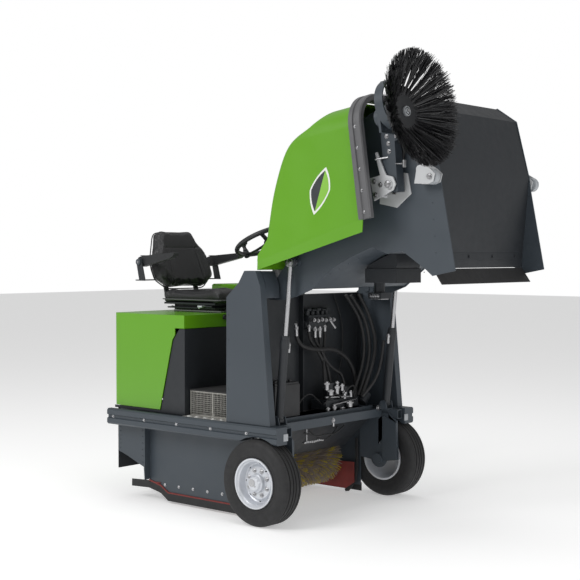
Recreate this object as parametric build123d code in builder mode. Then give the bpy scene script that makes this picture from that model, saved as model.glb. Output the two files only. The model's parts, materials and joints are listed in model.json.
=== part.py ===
from build123d import *
from math import cos, radians, sin
import os

# Ride-on sweeper with a hydraulically raised hopper, modelled with the hopper up.
# Lengths are millimetres. The working axes start on the ground under the front axle:
# +X forwards, +Y to the driver's left, +Z up. write() moves every piece to the
# machine's own frame, which is centred on the machine and stands on the ground.

os.makedirs("parts", exist_ok=True)

FRAME_SHIFT = (91.5, 115.5, 0)  # from the working axes to the centre of the machine

# Front wheels
TYRE_R = 207.5
TYRE_W = 130
TYRE_Y = 508
RIM_R = 121

# Chassis
BEAM_IN, BEAM_OUT = 427, 467
BEAM_Z0, BEAM_Z1 = 425, 473
REAR_X, BEAM_FRONT = -1070, 118
FLOOR_Z = 480
POST_IN, POST_OUT = 491, 533
SHEET = 4
RAIL_Y0, RAIL_Y1 = 522, 552
RAIL_Z0, RAIL_Z1 = 396, 479

# Hopper hinge and lift cylinders
HINGE_X, HINGE_Z = -46, 1113
LOWERING = 98
SIDE_IN, SIDE_OUT = 378, 383
CYL_Y = 430
CYL_BASE = (39, 500)
CYL_TOP = (114, 1257)
BARREL_R = 21
BARREL_LENGTH = 406
ROD_R = 11
FIT = 0.05  # radial clearance of a running pin

# Hood, cover and seat
HOOD_Y = 521
COVER_Y = 505
COVER_TOP = 985
COVER_FRONT = -532
CONSOLE_TOP, CONSOLE_Y = 1125, 242

# Main brush and rear wheel
BRUSH_X, BRUSH_Z, BRUSH_R = -350, 193, 150
ARM_PIVOT = (-634, 300)
DRIVE_X, DRIVE_R, DRIVE_W = -880, 170, 100

# Steering wheel
WHEEL_C = (-410, 1368)
WHEEL_R = 190
COLUMN_TILT = 25

# Side brush, hub on the hopper's right side
SIDE_BRUSH = (870, -550, 1901)
SIDE_BRUSH_TIP_R = 254

# The hopper lies level after the lowering turn; these axes run along it now
LEVEL_X = (cos(radians(LOWERING)), 0, sin(radians(LOWERING)))
LEVEL_Z = (-sin(radians(LOWERING)), 0, cos(radians(LOWERING)))


def write(piece, name):
    """Move a finished piece to the machine's frame, label it and write its STEP file."""
    placed = piece.part.moved(Location(FRAME_SHIFT))
    placed.label = name
    export_step(placed, f"parts/{name}.step")


def wall(side, y_near, y_far):
    """Sketch plane and thickness of a plate that stands between two distances from the centre line."""
    y = y_near if side > 0 else -y_far
    return Plane.XZ.offset(-y), -(y_far - y_near)


def plate(side, y_near, y_far, outline, mode=Mode.ADD):
    """A flat plate of the given side-view outline on one side of the machine."""
    plane, depth = wall(side, y_near, y_far)
    with BuildSketch(plane) as side_view:
        with BuildLine():
            Polyline(*outline, close=True)
        make_face()
    extrude(side_view.sketch, amount=depth, mode=mode)


def cross_sheet(half_width, outline):
    """A bent sheet across the machine, given its closed side-view outline."""
    plate(1, -half_width, half_width, outline)


def box(x0, x1, y0, y1, z0, z1, mode=Mode.ADD):
    """A block given by its limits."""
    with Locations(((x0 + x1) / 2, (y0 + y1) / 2, (z0 + z1) / 2)):
        Box(x1 - x0, y1 - y0, z1 - z0, mode=mode)


def cross_rod(x, z, y0, y1, radius, mode=Mode.ADD):
    """A cylinder across the machine."""
    with BuildSketch(Plane.XZ.offset(-y0)) as section:
        with Locations((x, z)):
            Circle(radius)
    extrude(section.sketch, amount=-(y1 - y0), mode=mode)


def sided(side, a, b):
    """The two limits of a span on one side, in rising order."""
    return (a, b) if side > 0 else (-b, -a)


SIDES = {"right": -1, "left": 1}

# ---------------------------------------------------------------- chassis frame
WHEEL_BRACKET = [(-127, 205), (-127, 450), (60, 450), (118, 416), (126, 210), (45, 196), (-45, 196)]
with BuildPart() as chassis_frame:
    for side in SIDES.values():
        y0, y1 = sided(side, BEAM_IN, BEAM_OUT)
        box(REAR_X + 10, BEAM_FRONT, y0, y1, BEAM_Z0, BEAM_Z1)
        box(REAR_X, BEAM_FRONT + 1, y0 + SHEET, y1 - SHEET, BEAM_Z0 + SHEET, BEAM_Z1 - SHEET, Mode.SUBTRACT)
        # foot and two ears for the lift cylinder
        y0, y1 = sided(side, 401, 467)
        box(10, 72, y0, y1, BEAM_Z1, BEAM_Z1 + 4)
        for ear in ((401, 407), (453, 459)):
            plate(side, *ear, [(14, 476), (66, 476), (58, 514), (39, 522), (20, 514)])
        cross_rod(*CYL_BASE, *sided(side, 401, 459), 9)
    box(-30, 15, -BEAM_IN, BEAM_IN, 430, BEAM_Z1)
    box(-30, -26, -400, 400, BEAM_Z1, 490)
    for x in (-560, REAR_X + 30):
        box(x - 20, x + 20, -BEAM_IN, BEAM_IN, BEAM_Z0 + 5, BEAM_Z1)
    box(DRIVE_X - 110, DRIVE_X + 110, -BEAM_IN, BEAM_IN, 455, 467)
    with Locations((DRIVE_X, 0, 461)):
        Cylinder(70, 30)
        Cylinder(30 + FIT, 40, mode=Mode.SUBTRACT)
    # two hangers for the brush arms
    for side in SIDES.values():
        plate(side, 392, 400, [(-668, 455), (-600, 455), (-612, 270), (-656, 270)])
        box(-668, -600, *sided(side, 392, BEAM_IN + 2), 443, 455)
        cross_rod(*ARM_PIVOT, *sided(side, 376, 400), 12)
        # front wheel bracket with its adjusting slot and stub axle
        plate(side, 418, 427, WHEEL_BRACKET)
        cross_rod(0, TYRE_R, *sided(side, 418, 427), 50)
        box(-2, 8, *sided(side, 417, 428), 285, 415, Mode.SUBTRACT)
        plate(side, 411, 418, [(28, 205), (28, 440), (118, 405), (122, 212)])
        cross_rod(0, TYRE_R, *sided(side, 404, 418), 26)
        cross_rod(0, TYRE_R, *sided(side, 404, 566), 17)
write(chassis_frame, "chassis_frame")

# ---------------------------------------------------------------- posts and bulkhead
POST = [(-213, FLOOR_Z), (-211, 1087), (-131, 1156), (-93, 1215), (-20, 1215), (11, 1139), (73, FLOOR_Z)]
POST_INSIDE = [
    (-209, FLOOR_Z - 5), (-207, 1085), (-128, 1153), (-91, 1211), (-23, 1211), (7, 1138), (69, FLOOR_Z - 5),
]
for word, side in SIDES.items():
    with BuildPart() as post:
        plate(side, POST_IN, POST_OUT, POST)
        plate(side, POST_IN + SHEET, POST_OUT - SHEET, POST_INSIDE, Mode.SUBTRACT)
        # bearing block for the hopper hinge, with its pin
        plate(side, 392, POST_IN, [(-118, 1084), (-118, 1158), (-92, 1213), (-21, 1213), (9, 1139), (9, 1084)])
        y0, y1 = sided(side, 366, 392)
        cross_rod(HINGE_X, HINGE_Z, y0, y1, 18)
    write(post, f"{word}_post")

with BuildPart() as bulkhead:
    box(-205, -201, -489, 489, FLOOR_Z, 1088)
    box(-205, -165, -488, 488, 1084, 1088)
    for y in (-484, -4, 480):
        box(-201, -170, y, y + SHEET, FLOOR_Z, 1084)
    # sloping housing over the front of the main brush
    cross_sheet(388, [(-30, 430), (-30, 436), (-202, 268), (-202, 262)])
write(bulkhead, "bulkhead")

# ---------------------------------------------------------------- side rails
RAIL_FRONT = 130
RAIL_PROFILE = [
    (RAIL_Y0, RAIL_Z0), (RAIL_Y1 - 8, RAIL_Z0), (RAIL_Y1, RAIL_Z0 + 8), (RAIL_Y1, 427), (RAIL_Y1 - 9, 431),
    (RAIL_Y1 - 9, 444), (RAIL_Y1, 448), (RAIL_Y1, RAIL_Z1 - 8), (RAIL_Y1 - 8, RAIL_Z1), (RAIL_Y0, RAIL_Z1),
]
for word, side in SIDES.items():
    with BuildPart() as rail:
        with BuildSketch(Plane.YZ.offset(REAR_X)):
            with BuildLine():
                Polyline(*[(side * y, z) for y, z in RAIL_PROFILE], close=True)
            make_face()
        extrude(amount=RAIL_FRONT - REAR_X)
        # wider end over the wheel, closed by a cap
        box(-180, RAIL_FRONT, *sided(side, 475, RAIL_Y0), RAIL_Z0, RAIL_Z1)
        cross_rod(0, TYRE_R, *sided(side, 465, RAIL_Y1 + 10), TYRE_R + 12, Mode.SUBTRACT)
    write(rail, f"{word}_rail")

# ---------------------------------------------------------------- skirts
SKIRT = [
    (-865, 424), (-865, 100), (-780, 76), (-725, 45), (-130, 45), (-130, 424),
]
LIP = [(-1000, 58), (-865, 64), (-775, 46), (-722, 12), (-130, 12), (-130, 52), (-720, 52), (-780, 84),
       (-865, 104), (-1000, 96)]
SEAL = [(-715, 20), (-715, 78), (-390, 80), (-285, 165), (-155, 170), (-155, 60), (-215, 20)]
CURTAIN = [(-152, 300), (-138, 300), (-132, 140), (-146, 66), (-196, 6), (-218, 2), (-226, 14), (-206, 24),
           (-162, 74), (-148, 140)]
for word, side in SIDES.items():
    with BuildPart() as skirt_panel:
        plate(side, 431, 435, SKIRT)
        # return flange at the rear of the panel
        box(-865, -861, *sided(side, 435, 474), 110, 392)
        plate(side, 470, 474, [(-1068, 392), (-1068, 244), (-1005, 226), (-871, 177), (-865, 110), (-865, 392)])
    write(skirt_panel, f"{word}_skirt_panel")

with BuildPart() as skirt_lips:
    for side in SIDES.values():
        plate(side, 435.5, 441, LIP)
        plate(side, 409, 416, CURTAIN)
write(skirt_lips, "skirt_lips")

with BuildPart() as skirt_seals:
    for side in SIDES.values():
        plate(side, 403, 407, SEAL)
        plate(side, 407, 430.5, [(-700, 70), (-700, 78), (-170, 78), (-170, 70)])
write(skirt_seals, "skirt_seals")

# ---------------------------------------------------------------- floor, foot platform, guards
with BuildPart() as tread_plate:
    box(-534, -214, -(RAIL_Y0 - 1), RAIL_Y0 - 1, 473.5, 479.5)
write(tread_plate, "tread_plate")

PEDAL_PIN = (-340, 640)
PEDAL_Y = {"drive_pedal": -150, "brake_pedal": 150}
with BuildPart() as foot_platform:
    box(-528, -208, -472, 472, 606, 612)
    for x in (-528, -368, -212):
        box(x, x + SHEET, -440, 440, FLOOR_Z, 606)
    # ears and pins of the two pedals
    for y in PEDAL_Y.values():
        cross_rod(*PEDAL_PIN, y - 58, y + 58, 8)
        for ear in (y - 56, y + 48):
            plate(1, ear, ear + 8, [(-356, 612), (-324, 612), (-330, 652), (-350, 652)])
write(foot_platform, "foot_platform")

with BuildPart() as mesh_guards:
    for side in SIDES.values():
        y0, y1 = sided(side, 466, 470)
        box(-526, -212, y0, y1, FLOOR_Z, 605.5)
        with BuildSketch(Plane.XZ.offset(-y0)):
            with Locations((-369, 543)):
                with GridLocations(20, 19, 15, 6):
                    Rectangle(16, 15)
        extrude(amount=-(y1 - y0), mode=Mode.SUBTRACT)
write(mesh_guards, "mesh_guards")

# ---------------------------------------------------------------- engine bay
COVER_HINGE = (-1082, 500)
CUT_LINE = [(-712, 496), (-702, 537), (-619, 859), (-575, 919)]
with BuildPart() as bay_shroud:
    box(-538, -534, -500, 500, FLOOR_Z, 916)
    for side in SIDES.values():
        plate(side, 496, 500, [(-534, FLOOR_Z), (-534, 916), (-572, 916), (-616, 857), (-699, 535), (-709, 493),
                               (-1066, 493), (-1066, FLOOR_Z)])
    # apron behind the rear wheel
    box(-1076, -1072, -469, 469, 150, 486)
    box(-1072, -1062, -469, 469, 482, 486)
    # hinge pins of the engine cover
    for side in SIDES.values():
        cross_rod(*COVER_HINGE, *sided(side, 198, 302), 5)
        for ear in (198, 294):
            box(-1088, -1072, *sided(side, ear, ear + 8), 474, 505.8)
write(bay_shroud, "bay_shroud")

with BuildPart() as engine:
    box(-940, -620, -140, 140, 490, 700)
    fillet(engine.edges().filter_by(Axis.Z), 20)
    box(-900, -660, -90, 90, 700, 790)
    with Locations((-700, -210, 600)):
        Cylinder(60, 180, rotation=(90, 0, 0))
    box(-730, -670, -150, -140, 570, 630)
    with Locations((-780, 0, 830)):
        Cylinder(95, 80)
    with Locations((-600, 0, 580)):
        Cylinder(75, 40, rotation=(0, 90, 0))
write(engine, "engine")

with BuildPart() as battery:
    box(-190, -40, -370, -180, 492, 650)
    fillet(battery.edges().filter_by(Axis.Z), 6)
    box(-185, -45, -365, -185, 650, 660)
    for y in (-330, -220):
        with Locations((-75, y, 666)):
            Cylinder(9, 12)
write(battery, "battery")

# ---------------------------------------------------------------- hydraulics
VALVE_PORTS = (20, 66, 105, 147)
with BuildPart() as hydraulic_valves:
    # upper valve block on the bulkhead
    box(-201, -150, 10, 205, 900, 985)
    for y in VALVE_PORTS:
        with Locations((-176, y, 890)):
            Cylinder(9, 24)
        with Locations((-141, y, 955)):
            Cylinder(11, 22, rotation=(0, 90, 0))
    # lower pump and manifold
    box(-190, -50, 60, 380, 491, 560)
    for y in (90, 150, 210, 270, 330):
        with Locations((-120, y, 600)):
            Cylinder(22, 84)
        with Locations((-40, y, 525)):
            Cylinder(14, 24, rotation=(0, 90, 0))
write(hydraulic_valves, "hydraulic_valves")


def tan_half(turn):
    """Tangent of half an angle given in degrees."""
    return sin(radians(turn / 2)) / cos(radians(turn / 2))


def hose(points, radius):
    """One hose along straight runs with bends as large as the runs allow."""
    vectors = [Vector(*p) for p in points]
    bends = []
    for before, here, after in zip(vectors, vectors[1:], vectors[2:]):
        turn = (here - before).get_angle(after - here)
        run = min((here - before).length, (after - here).length)
        bends.append(0.45 * run / tan_half(turn))
    with BuildLine() as route:
        FilletPolyline(*points, radius=bends)
    with BuildSketch(Plane(origin=route.line @ 0, z_dir=route.line % 0)) as section:
        Circle(radius)
    sweep(section.sketch, path=route.line)


with BuildPart() as hydraulic_hoses:
    for y, low_y, bulge in zip(VALVE_PORTS, (150, 270, 210, 90), (36, 52, 30, 60)):
        hose([(-176, y, 877), (-176, y, 806), (-176 + bulge, 0.6 * y + 0.4 * low_y, 750),
              (-120, low_y, 705), (-120, low_y, 643)], 8)
    for k, y in enumerate((300, 322, 344)):
        hose([(-84 + 12 * k, y, 561), (-84 + 12 * k, y, 596), (-86 + 16 * k, y + 40, 648), (-88 + 22 * k, 392 + 18 * k, 728),
              (-84 + 22 * k, 400 + 16 * k, 824), (-98 + 14 * k, 398 + 14 * k, 922),
              (-124 + 12 * k, y + 54, 1004), (-150 + 14 * k, y + 10, 1062)], 9)
write(hydraulic_hoses, "hydraulic_hoses")

# ---------------------------------------------------------------- front wheels
for word, side in SIDES.items():
    with BuildPart() as tyre:
        with BuildSketch(Plane.XY) as tyre_half:
            with BuildLine():
                Polyline((RIM_R, -52), (150, -62), (190, -65), (203, -54), (TYRE_R, -40), (TYRE_R, -34),
                         (201, -33), (201, -26), (TYRE_R, -25), (TYRE_R, -5), (201, -4), (201, 4), (TYRE_R, 5),
                         (TYRE_R, 25), (201, 26), (201, 33), (TYRE_R, 34), (TYRE_R, 40), (203, 54), (190, 65),
                         (150, 62), (RIM_R, 52), close=True)
            make_face()
        revolve(axis=Axis.Y)
    tyre.part = tyre.part.moved(Location((0, side * TYRE_Y, TYRE_R)))
    write(tyre, f"{word}_tyre")

    with BuildPart() as rim:
        with BuildSketch(Plane.XY):
            with BuildLine():
                Polyline((17.05, 30), (17.05, 60), (34, 60), (38, 44), (60, 40), (78, 22), (100, 30), (108, 60),
                         (120, 63), (120, 56), (112, 50), (108, 0), (112, -50), (120, -56), (120, -63),
                         (106, -60), (101, 0), (100, 22), (80, 12), (60, 30), (38, 34), (30, 30), close=True)
            make_face()
        revolve(axis=Axis.Y)
        # wheel nuts
        with BuildSketch(Plane.XZ.offset(-38)):
            with PolarLocations(55, 8):
                RegularPolygon(9, 6)
        extrude(amount=-14)
    placed = rim.part if side > 0 else rim.part.mirror(Plane.XZ)
    rim.part = placed.moved(Location((0, side * TYRE_Y, TYRE_R)))
    write(rim, f"{word}_rim")

# ---------------------------------------------------------------- rear drive unit
with BuildPart() as drive_fork:
    with Locations((DRIVE_X, 0, 432)):
        Cylinder(66, 20)
    with Locations((DRIVE_X, 0, 450)):
        Cylinder(30, 58)
    with Locations((DRIVE_X, 0, 480)):
        Cylinder(45, 6)
    box(DRIVE_X - 55, DRIVE_X + 55, -72, 72, 410, 422)
    for side in (-1, 1):
        plate(side, 60, 72, [(DRIVE_X - 45, 412), (DRIVE_X + 45, 412), (DRIVE_X + 30, 150), (DRIVE_X - 30, 150)])
    cross_rod(DRIVE_X, DRIVE_R, -84, -60, 50)
    cross_rod(DRIVE_X, DRIVE_R, -74, 74, 14)
write(drive_fork, "drive_fork")

with BuildPart() as drive_wheel:
    cross_rod(DRIVE_X, DRIVE_R, -DRIVE_W / 2, DRIVE_W / 2, DRIVE_R)
    fillet(drive_wheel.edges().filter_by(GeomType.CIRCLE), 12)
    cross_rod(DRIVE_X, DRIVE_R, -60, 60, 14 + FIT, Mode.SUBTRACT)
write(drive_wheel, "drive_wheel")

# ---------------------------------------------------------------- main brush
with BuildPart() as brush_arms:
    for side in SIDES.values():
        plate(side, 379, 387, [(-660, 280), (-650, 325), (-615, 325), (-335, 225), (-320, 180), (-350, 160),
                               (-380, 170), (-615, 275)])
        y0, y1 = sided(side, 370, 390)
        cross_rod(*ARM_PIVOT, y0, y1, 12 + FIT, Mode.SUBTRACT)
        y0, y1 = sided(side, 366, 379)
        cross_rod(BRUSH_X, BRUSH_Z, y0, y1, 15)
    cross_rod(-590, 292, -379, 379, 14)
    cross_rod(BRUSH_X, BRUSH_Z, -400, -387, 38)
write(brush_arms, "brush_arms")

with BuildPart() as brush_core:
    cross_rod(BRUSH_X, BRUSH_Z, -374, 374, 62)
    for side in SIDES.values():
        y0, y1 = sided(side, 364, 376)
        cross_rod(BRUSH_X, BRUSH_Z, y0, y1, 15 + FIT, Mode.SUBTRACT)
write(brush_core, "brush_core")

with BuildPart() as brush_bristles:
    cross_rod(BRUSH_X, BRUSH_Z, -368, 368, BRUSH_R)
    cross_rod(BRUSH_X, BRUSH_Z, -369, 369, 62, Mode.SUBTRACT)
write(brush_bristles, "brush_bristles")

# ---------------------------------------------------------------- hopper
FLOOR_LINE = [(885, 1232), (923, 1655), (873, 1842), (850, 1930), (745, 2000)]
HOPPER_SIDE = [
    (102, 1090), (201, 1126), (334, 1230), (428, 1277), (560, 1326), (644, 1295), (727, 1308), (855, 1225),
    (887, 1199), (1006, 1222), (932, 1600), (925, 1655), (876, 1842), (853, 1932), (745, 2004), (440, 1885),
    (260, 1800), (150, 1650), (95, 1400), (60, 1262), (-30, 1164), (-82, 1146), (-88, 1113),
    (-74, 1084), (-36, 1072), (20, 1074),
]
for word, side in SIDES.items():
    with BuildPart() as hopper_side:
        plate(side, SIDE_IN, SIDE_OUT, HOPPER_SIDE)
        cross_rod(HINGE_X, HINGE_Z, *sided(side, SIDE_IN - 4, SIDE_OUT + 5), 40)
        cross_rod(HINGE_X, HINGE_Z, *sided(side, 360, 392), 18 + FIT, Mode.SUBTRACT)
        # boss that the lift cylinder pushes on
        cross_rod(*CYL_TOP, *sided(side, SIDE_OUT, 394), 22)
    write(hopper_side, f"{word}_hopper_side")

with BuildPart() as hopper_floor:
    with BuildSketch(Plane.XZ.offset(-(SIDE_IN - 0.5))) as floor_sheet:
        with BuildLine():
            floor_line = Polyline(*FLOOR_LINE)
            offset(floor_line, amount=5, side=Side.LEFT)
        make_face()
    extrude(amount=2 * (SIDE_IN - 0.5))
    # recessed strip that holds the flap
    box(875, 893, -340, 340, 1268, 1300)
write(hopper_floor, "hopper_floor")

with BuildPart() as hopper_flap:
    cross_sheet(376, [(884, 1230), (889, 1230), (936, 1163), (931, 1161)])
write(hopper_flap, "hopper_flap")

BIN = [(727, 1310), (644, 1297), (560, 1328), (430, 1280), (440, 1880), (738, 1996)]
BIN_INSIDE = [(727, 1315), (645, 1303), (560, 1334), (436, 1288), (445, 1877), (738, 1991)]
FILTER = [(430, 1280), (334, 1234), (201, 1133), (106, 1125), (106, 1262), (118, 1400), (160, 1648), (268, 1796),
          (440, 1872)]
FILTER_INSIDE = [(426, 1284), (332, 1240), (199, 1138), (110, 1130), (110, 1262), (122, 1400), (164, 1646),
                 (270, 1792), (435, 1864)]
with BuildPart() as hopper_bin:
    # dirt bin, open below its front lip, and the filter chamber behind it
    cross_sheet(SIDE_IN - 0.5, BIN + list(reversed(BIN_INSIDE)))
    cross_sheet(SIDE_IN - 0.5, FILTER)
    plate(1, -SIDE_IN, SIDE_IN, FILTER_INSIDE, Mode.SUBTRACT)
write(hopper_bin, "hopper_bin")

with BuildPart() as shaker_unit:
    # fan housing under the filter chamber with its shut-off valve
    plate(1, -150, 40, [(350, 1225), (525, 1225), (532, 1262), (520, 1307), (430, 1273), (350, 1236)])
    box(345, 530, -155, 45, 1158, 1226)
    with Locations((330, -20, 1118)):
        Cylinder(26, 84)
    box(318, 350, -40, 0, 1140, 1164)
    box(292, 372, -62, 22, 1078, 1108)
write(shaker_unit, "shaker_unit")

# ---------------------------------------------------------------- hood
HOOD_BACK = [(516, 1969), (464, 1961.5), (411, 1954), (378, 1940), (351, 1919), (294, 1877), (234, 1846),
             (172, 1801), (139, 1753), (102, 1666), (70, 1563), (44, 1434), (25, 1339)]
HOOD_CORNERS = [(-16, 1290), (-22, 1219), (604, 1392), (610, 1444), (536, 1971.8)]
HOOD_INSIDE_BACK = [(650, 1983.4), (571, 1972.4), (464, 1957.4), (412, 1950), (380, 1936), (353, 1915), (296, 1872.5),
                    (236, 1842), (175.5, 1798), (143, 1751), (106, 1664), (74, 1562), (48, 1433), (29, 1337)]
HOOD_INSIDE_CORNERS = [(-12, 1288), (-16, 1211), (650, 1380)]
# in plan, with the hopper down, the hood's nose has rounded corners
HOOD_ORIGIN = (583, 1452)
HOOD_NOSE, HOOD_NOSE_R = 521, 114


def level_plane(x, z):
    """The plane that lies level when the hopper is down, through a point of the side view."""
    return Plane(origin=(x, 0, z), x_dir=LEVEL_X, z_dir=LEVEL_Z)


def hood_solid(wall_inset, back, corners, edge_radius, mode=Mode.ADD):
    """The hood's outer or inner form: side view with a smooth back, rounded long edges, rounded nose."""
    half_width = HOOD_Y - wall_inset
    with BuildSketch(Plane.XZ.offset(half_width)) as side_view:
        with BuildLine():
            Spline(*back)
            Polyline(back[-1], *corners, back[0])
        make_face()
    form = extrude(side_view.sketch, amount=-2 * half_width, mode=Mode.PRIVATE)
    rim = form.edges().filter_by(GeomType.BSPLINE)
    form = form.fillet(edge_radius, rim)
    with BuildSketch(level_plane(*HOOD_ORIGIN).offset(-100)) as plan_view:
        with Locations(((HOOD_NOSE - wall_inset) / 2 - 400, 0)):
            Rectangle(HOOD_NOSE - wall_inset + 800, 2 * half_width)
        fillet(plan_view.vertices().group_by(Axis.Z)[-1], HOOD_NOSE_R - wall_inset)
    plan = extrude(plan_view.sketch, amount=900, mode=Mode.PRIVATE)
    add(form & plan, mode=mode)


with BuildPart() as hood:
    hood_solid(0, HOOD_BACK, HOOD_CORNERS, 26)
    hood_solid(SHEET, HOOD_INSIDE_BACK, HOOD_INSIDE_CORNERS, 22, Mode.SUBTRACT)
write(hood, "hood")

# bumper strip round the hood's free edge; it lies level when the hopper is down
BUMPER_START = (641.6, 1449)
BUMPER_SIDE_RUN = 420
BUMPER_BEND = 130
BUMPER_Y = 536.5
with BuildPart() as hood_bumper:
    level = level_plane(*BUMPER_START)
    with BuildLine(level):
        FilletPolyline(
            (0, -BUMPER_Y), (BUMPER_SIDE_RUN + BUMPER_BEND, -BUMPER_Y), (BUMPER_SIDE_RUN + BUMPER_BEND, BUMPER_Y),
            (0, BUMPER_Y), radius=BUMPER_BEND,
        )
    with BuildSketch(Plane(origin=level.from_local_coords((0, -BUMPER_Y, 0)), x_dir=(0, 1, 0), z_dir=LEVEL_X)):
        with BuildLine():
            Polyline((13, -36), (13, 36), (-8, 36), (-14, 30), (-14, 9), (-7, 5), (-7, -5), (-14, -9), (-14, -30),
                     (-8, -36), close=True)
        make_face()
    sweep()
write(hood_bumper, "hood_bumper")

# ---------------------------------------------------------------- rollers at the hopper's corners
ROLLER = (912, 1628)
for word, side in SIDES.items():
    with BuildPart() as roller:
        cross_rod(*ROLLER, *sided(side, 408, 436), 34)
        fillet(roller.edges().filter_by(GeomType.CIRCLE), 5)
        cross_rod(*ROLLER, *sided(side, 400, 440), 9 + FIT, Mode.SUBTRACT)
    write(roller, f"{word}_roller")

with BuildPart() as roller_brackets:
    for side in SIDES.values():
        outline = [(832, 1600), (846, 1676), (876, 1684), (915, 1662), (940, 1640), (930, 1604), (905, 1596)]
        plate(side, 383.5, 388, outline)
        plate(side, 439, 444, outline)
        box(838, 850, *sided(side, 388, 439), 1604, 1670)
        cross_rod(*ROLLER, *sided(side, 388, 446), 9)
write(roller_brackets, "roller_brackets")

# ---------------------------------------------------------------- side brush
BX, BY, BZ = SIDE_BRUSH
ARM_HINGE = (713, 1601)
with BuildPart() as side_brush_bracket:
    plate(-1, 383.5, 389, [(606, 1520), (606, 1650), (660, 1668), (760, 1650), (778, 1560), (700, 1500)])
    # outer casting, round at the pivot, with a finger pointing up
    plate(-1, 458, 466, [(609, 1631), (632, 1529), (735, 1574), (749, 1601), (735, 1632), (697, 1642), (648, 1745),
                         (636, 1741), (664, 1642)])
    for x, z in ((640, 1556), (632, 1616)):
        cross_rod(x, z, -458, -389, 10)
    cross_rod(*ARM_HINGE, -472, -389, 12)
    cross_rod(*ARM_HINGE, -474, -466, 20)
write(side_brush_bracket, "side_brush_bracket")


def brush_plane(distance):
    """Plane across the side brush's axis, a distance below the hub when the hopper is down."""
    down = Vector(*LEVEL_Z) * -1
    return Plane(origin=Vector(BX, BY, BZ) + down * distance, x_dir=LEVEL_X, z_dir=down)


def brush_disc(start, end, radius, mode=Mode.ADD):
    """A round slab on the side brush's axis."""
    with BuildSketch(brush_plane(start)) as section:
        Circle(radius)
    extrude(section.sketch, amount=end - start, mode=mode)


GUARD_R = 105
with BuildPart() as side_brush_arm:
    plate(-1, 400, 452, [(684, 1568), (751, 1568), (733, 1790), (786, 1800), (778, 1850), (656, 1838)])
    plate(-1, 404, 448, [(690, 1560), (745, 1560), (724, 1796), (690, 1796)], Mode.SUBTRACT)
    cross_rod(*ARM_HINGE, -452, -400, 26)
    cross_rod(*ARM_HINGE, -455, -395, 12 + FIT, Mode.SUBTRACT)
    # mounting plate, motor and shaft of the brush
    with BuildSketch(brush_plane(-112)) as mount:
        with Locations((-24, -44)):
            Rectangle(104, 212)
    extrude(mount.sketch, amount=12)
    brush_disc(-150, -100, 38)
    brush_disc(-100, -34, 48)
    brush_disc(-34, -14, 14)
    # curved guard on the outer side of the motor
    with BuildSketch(brush_plane(-90)) as guard:
        with Locations((45, 0)):
            Circle(GUARD_R)
            Circle(GUARD_R - 6, mode=Mode.SUBTRACT)
        with Locations((45, -GUARD_R)):
            Rectangle(4 * GUARD_R, 2 * GUARD_R, mode=Mode.SUBTRACT)
    extrude(guard.sketch, amount=43)
    for reach in (-GUARD_R + 1, GUARD_R - 13):
        with BuildSketch(brush_plane(-106)) as stay:
            with Locations((45 + reach + 6, 8)):
                Rectangle(12, 30)
        extrude(stay.sketch, amount=40)
write(side_brush_arm, "side_brush_arm")

with BuildPart() as side_brush_disc:
    brush_disc(-30, -8, 112)
    brush_disc(-34, -12, 14 + FIT, Mode.SUBTRACT)
    with BuildSketch(brush_plane(-8)) as nut:
        RegularPolygon(20, 6)
    extrude(nut.sketch, amount=12)
write(side_brush_disc, "side_brush_disc")

with BuildPart() as side_brush_bristles:
    with BuildSketch(Plane(origin=(BX, BY, BZ), x_dir=Vector(*LEVEL_Z) * -1, z_dir=(0, -1, 0))) as cone:
        with BuildLine():
            Polyline((-7.5, 70), (-7.5, 112), (78, SIDE_BRUSH_TIP_R), (104, SIDE_BRUSH_TIP_R - 18),
                     (90, 198), (46, 110), (16, 70), close=True)
        make_face()
    revolve(cone.sketch, axis=Axis((BX, BY, BZ), Vector(*LEVEL_Z) * -1))
write(side_brush_bristles, "side_brush_bristles")

# ---------------------------------------------------------------- lift cylinders
CYL_AXIS = (Vector(CYL_TOP[0], 0, CYL_TOP[1]) - Vector(CYL_BASE[0], 0, CYL_BASE[1])).normalized()
CYL_LENGTH = (Vector(CYL_TOP[0], 0, CYL_TOP[1]) - Vector(CYL_BASE[0], 0, CYL_BASE[1])).length


def along_cylinder(side, distance):
    """Plane across a lift cylinder at a distance from its base pin."""
    base = Vector(CYL_BASE[0], side * CYL_Y, CYL_BASE[1])
    return Plane(origin=base + CYL_AXIS * distance, z_dir=CYL_AXIS)


for word, side in SIDES.items():
    with BuildPart() as barrel:
        cross_rod(*CYL_BASE, *sided(side, 415, 445), 20)
        with BuildSketch(along_cylinder(side, 8)):
            Circle(BARREL_R)
        extrude(amount=BARREL_LENGTH - 8)
        with BuildSketch(along_cylinder(side, 30)):
            Circle(ROD_R + FIT)
        extrude(amount=BARREL_LENGTH, mode=Mode.SUBTRACT)
        cross_rod(*CYL_BASE, *sided(side, 400, 460), 9 + FIT, Mode.SUBTRACT)
        # port boss near the rod end
        with BuildSketch(along_cylinder(side, BARREL_LENGTH - 60)):
            with Locations((0, 0)):
                Circle(BARREL_R + 3)
                Circle(ROD_R + 4, mode=Mode.SUBTRACT)
        extrude(amount=40)
    write(barrel, f"{word}_lift_barrel")

    with BuildPart() as rod:
        with BuildSketch(along_cylinder(side, CYL_LENGTH - BARREL_LENGTH + 8)):
            Circle(ROD_R)
        extrude(amount=BARREL_LENGTH - 20)
        cross_rod(*CYL_TOP, *sided(side, 415, 445), 24)
        cross_rod(*CYL_TOP, *sided(side, 395, 452), 12)
    write(rod, f"{word}_lift_rod")

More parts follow.
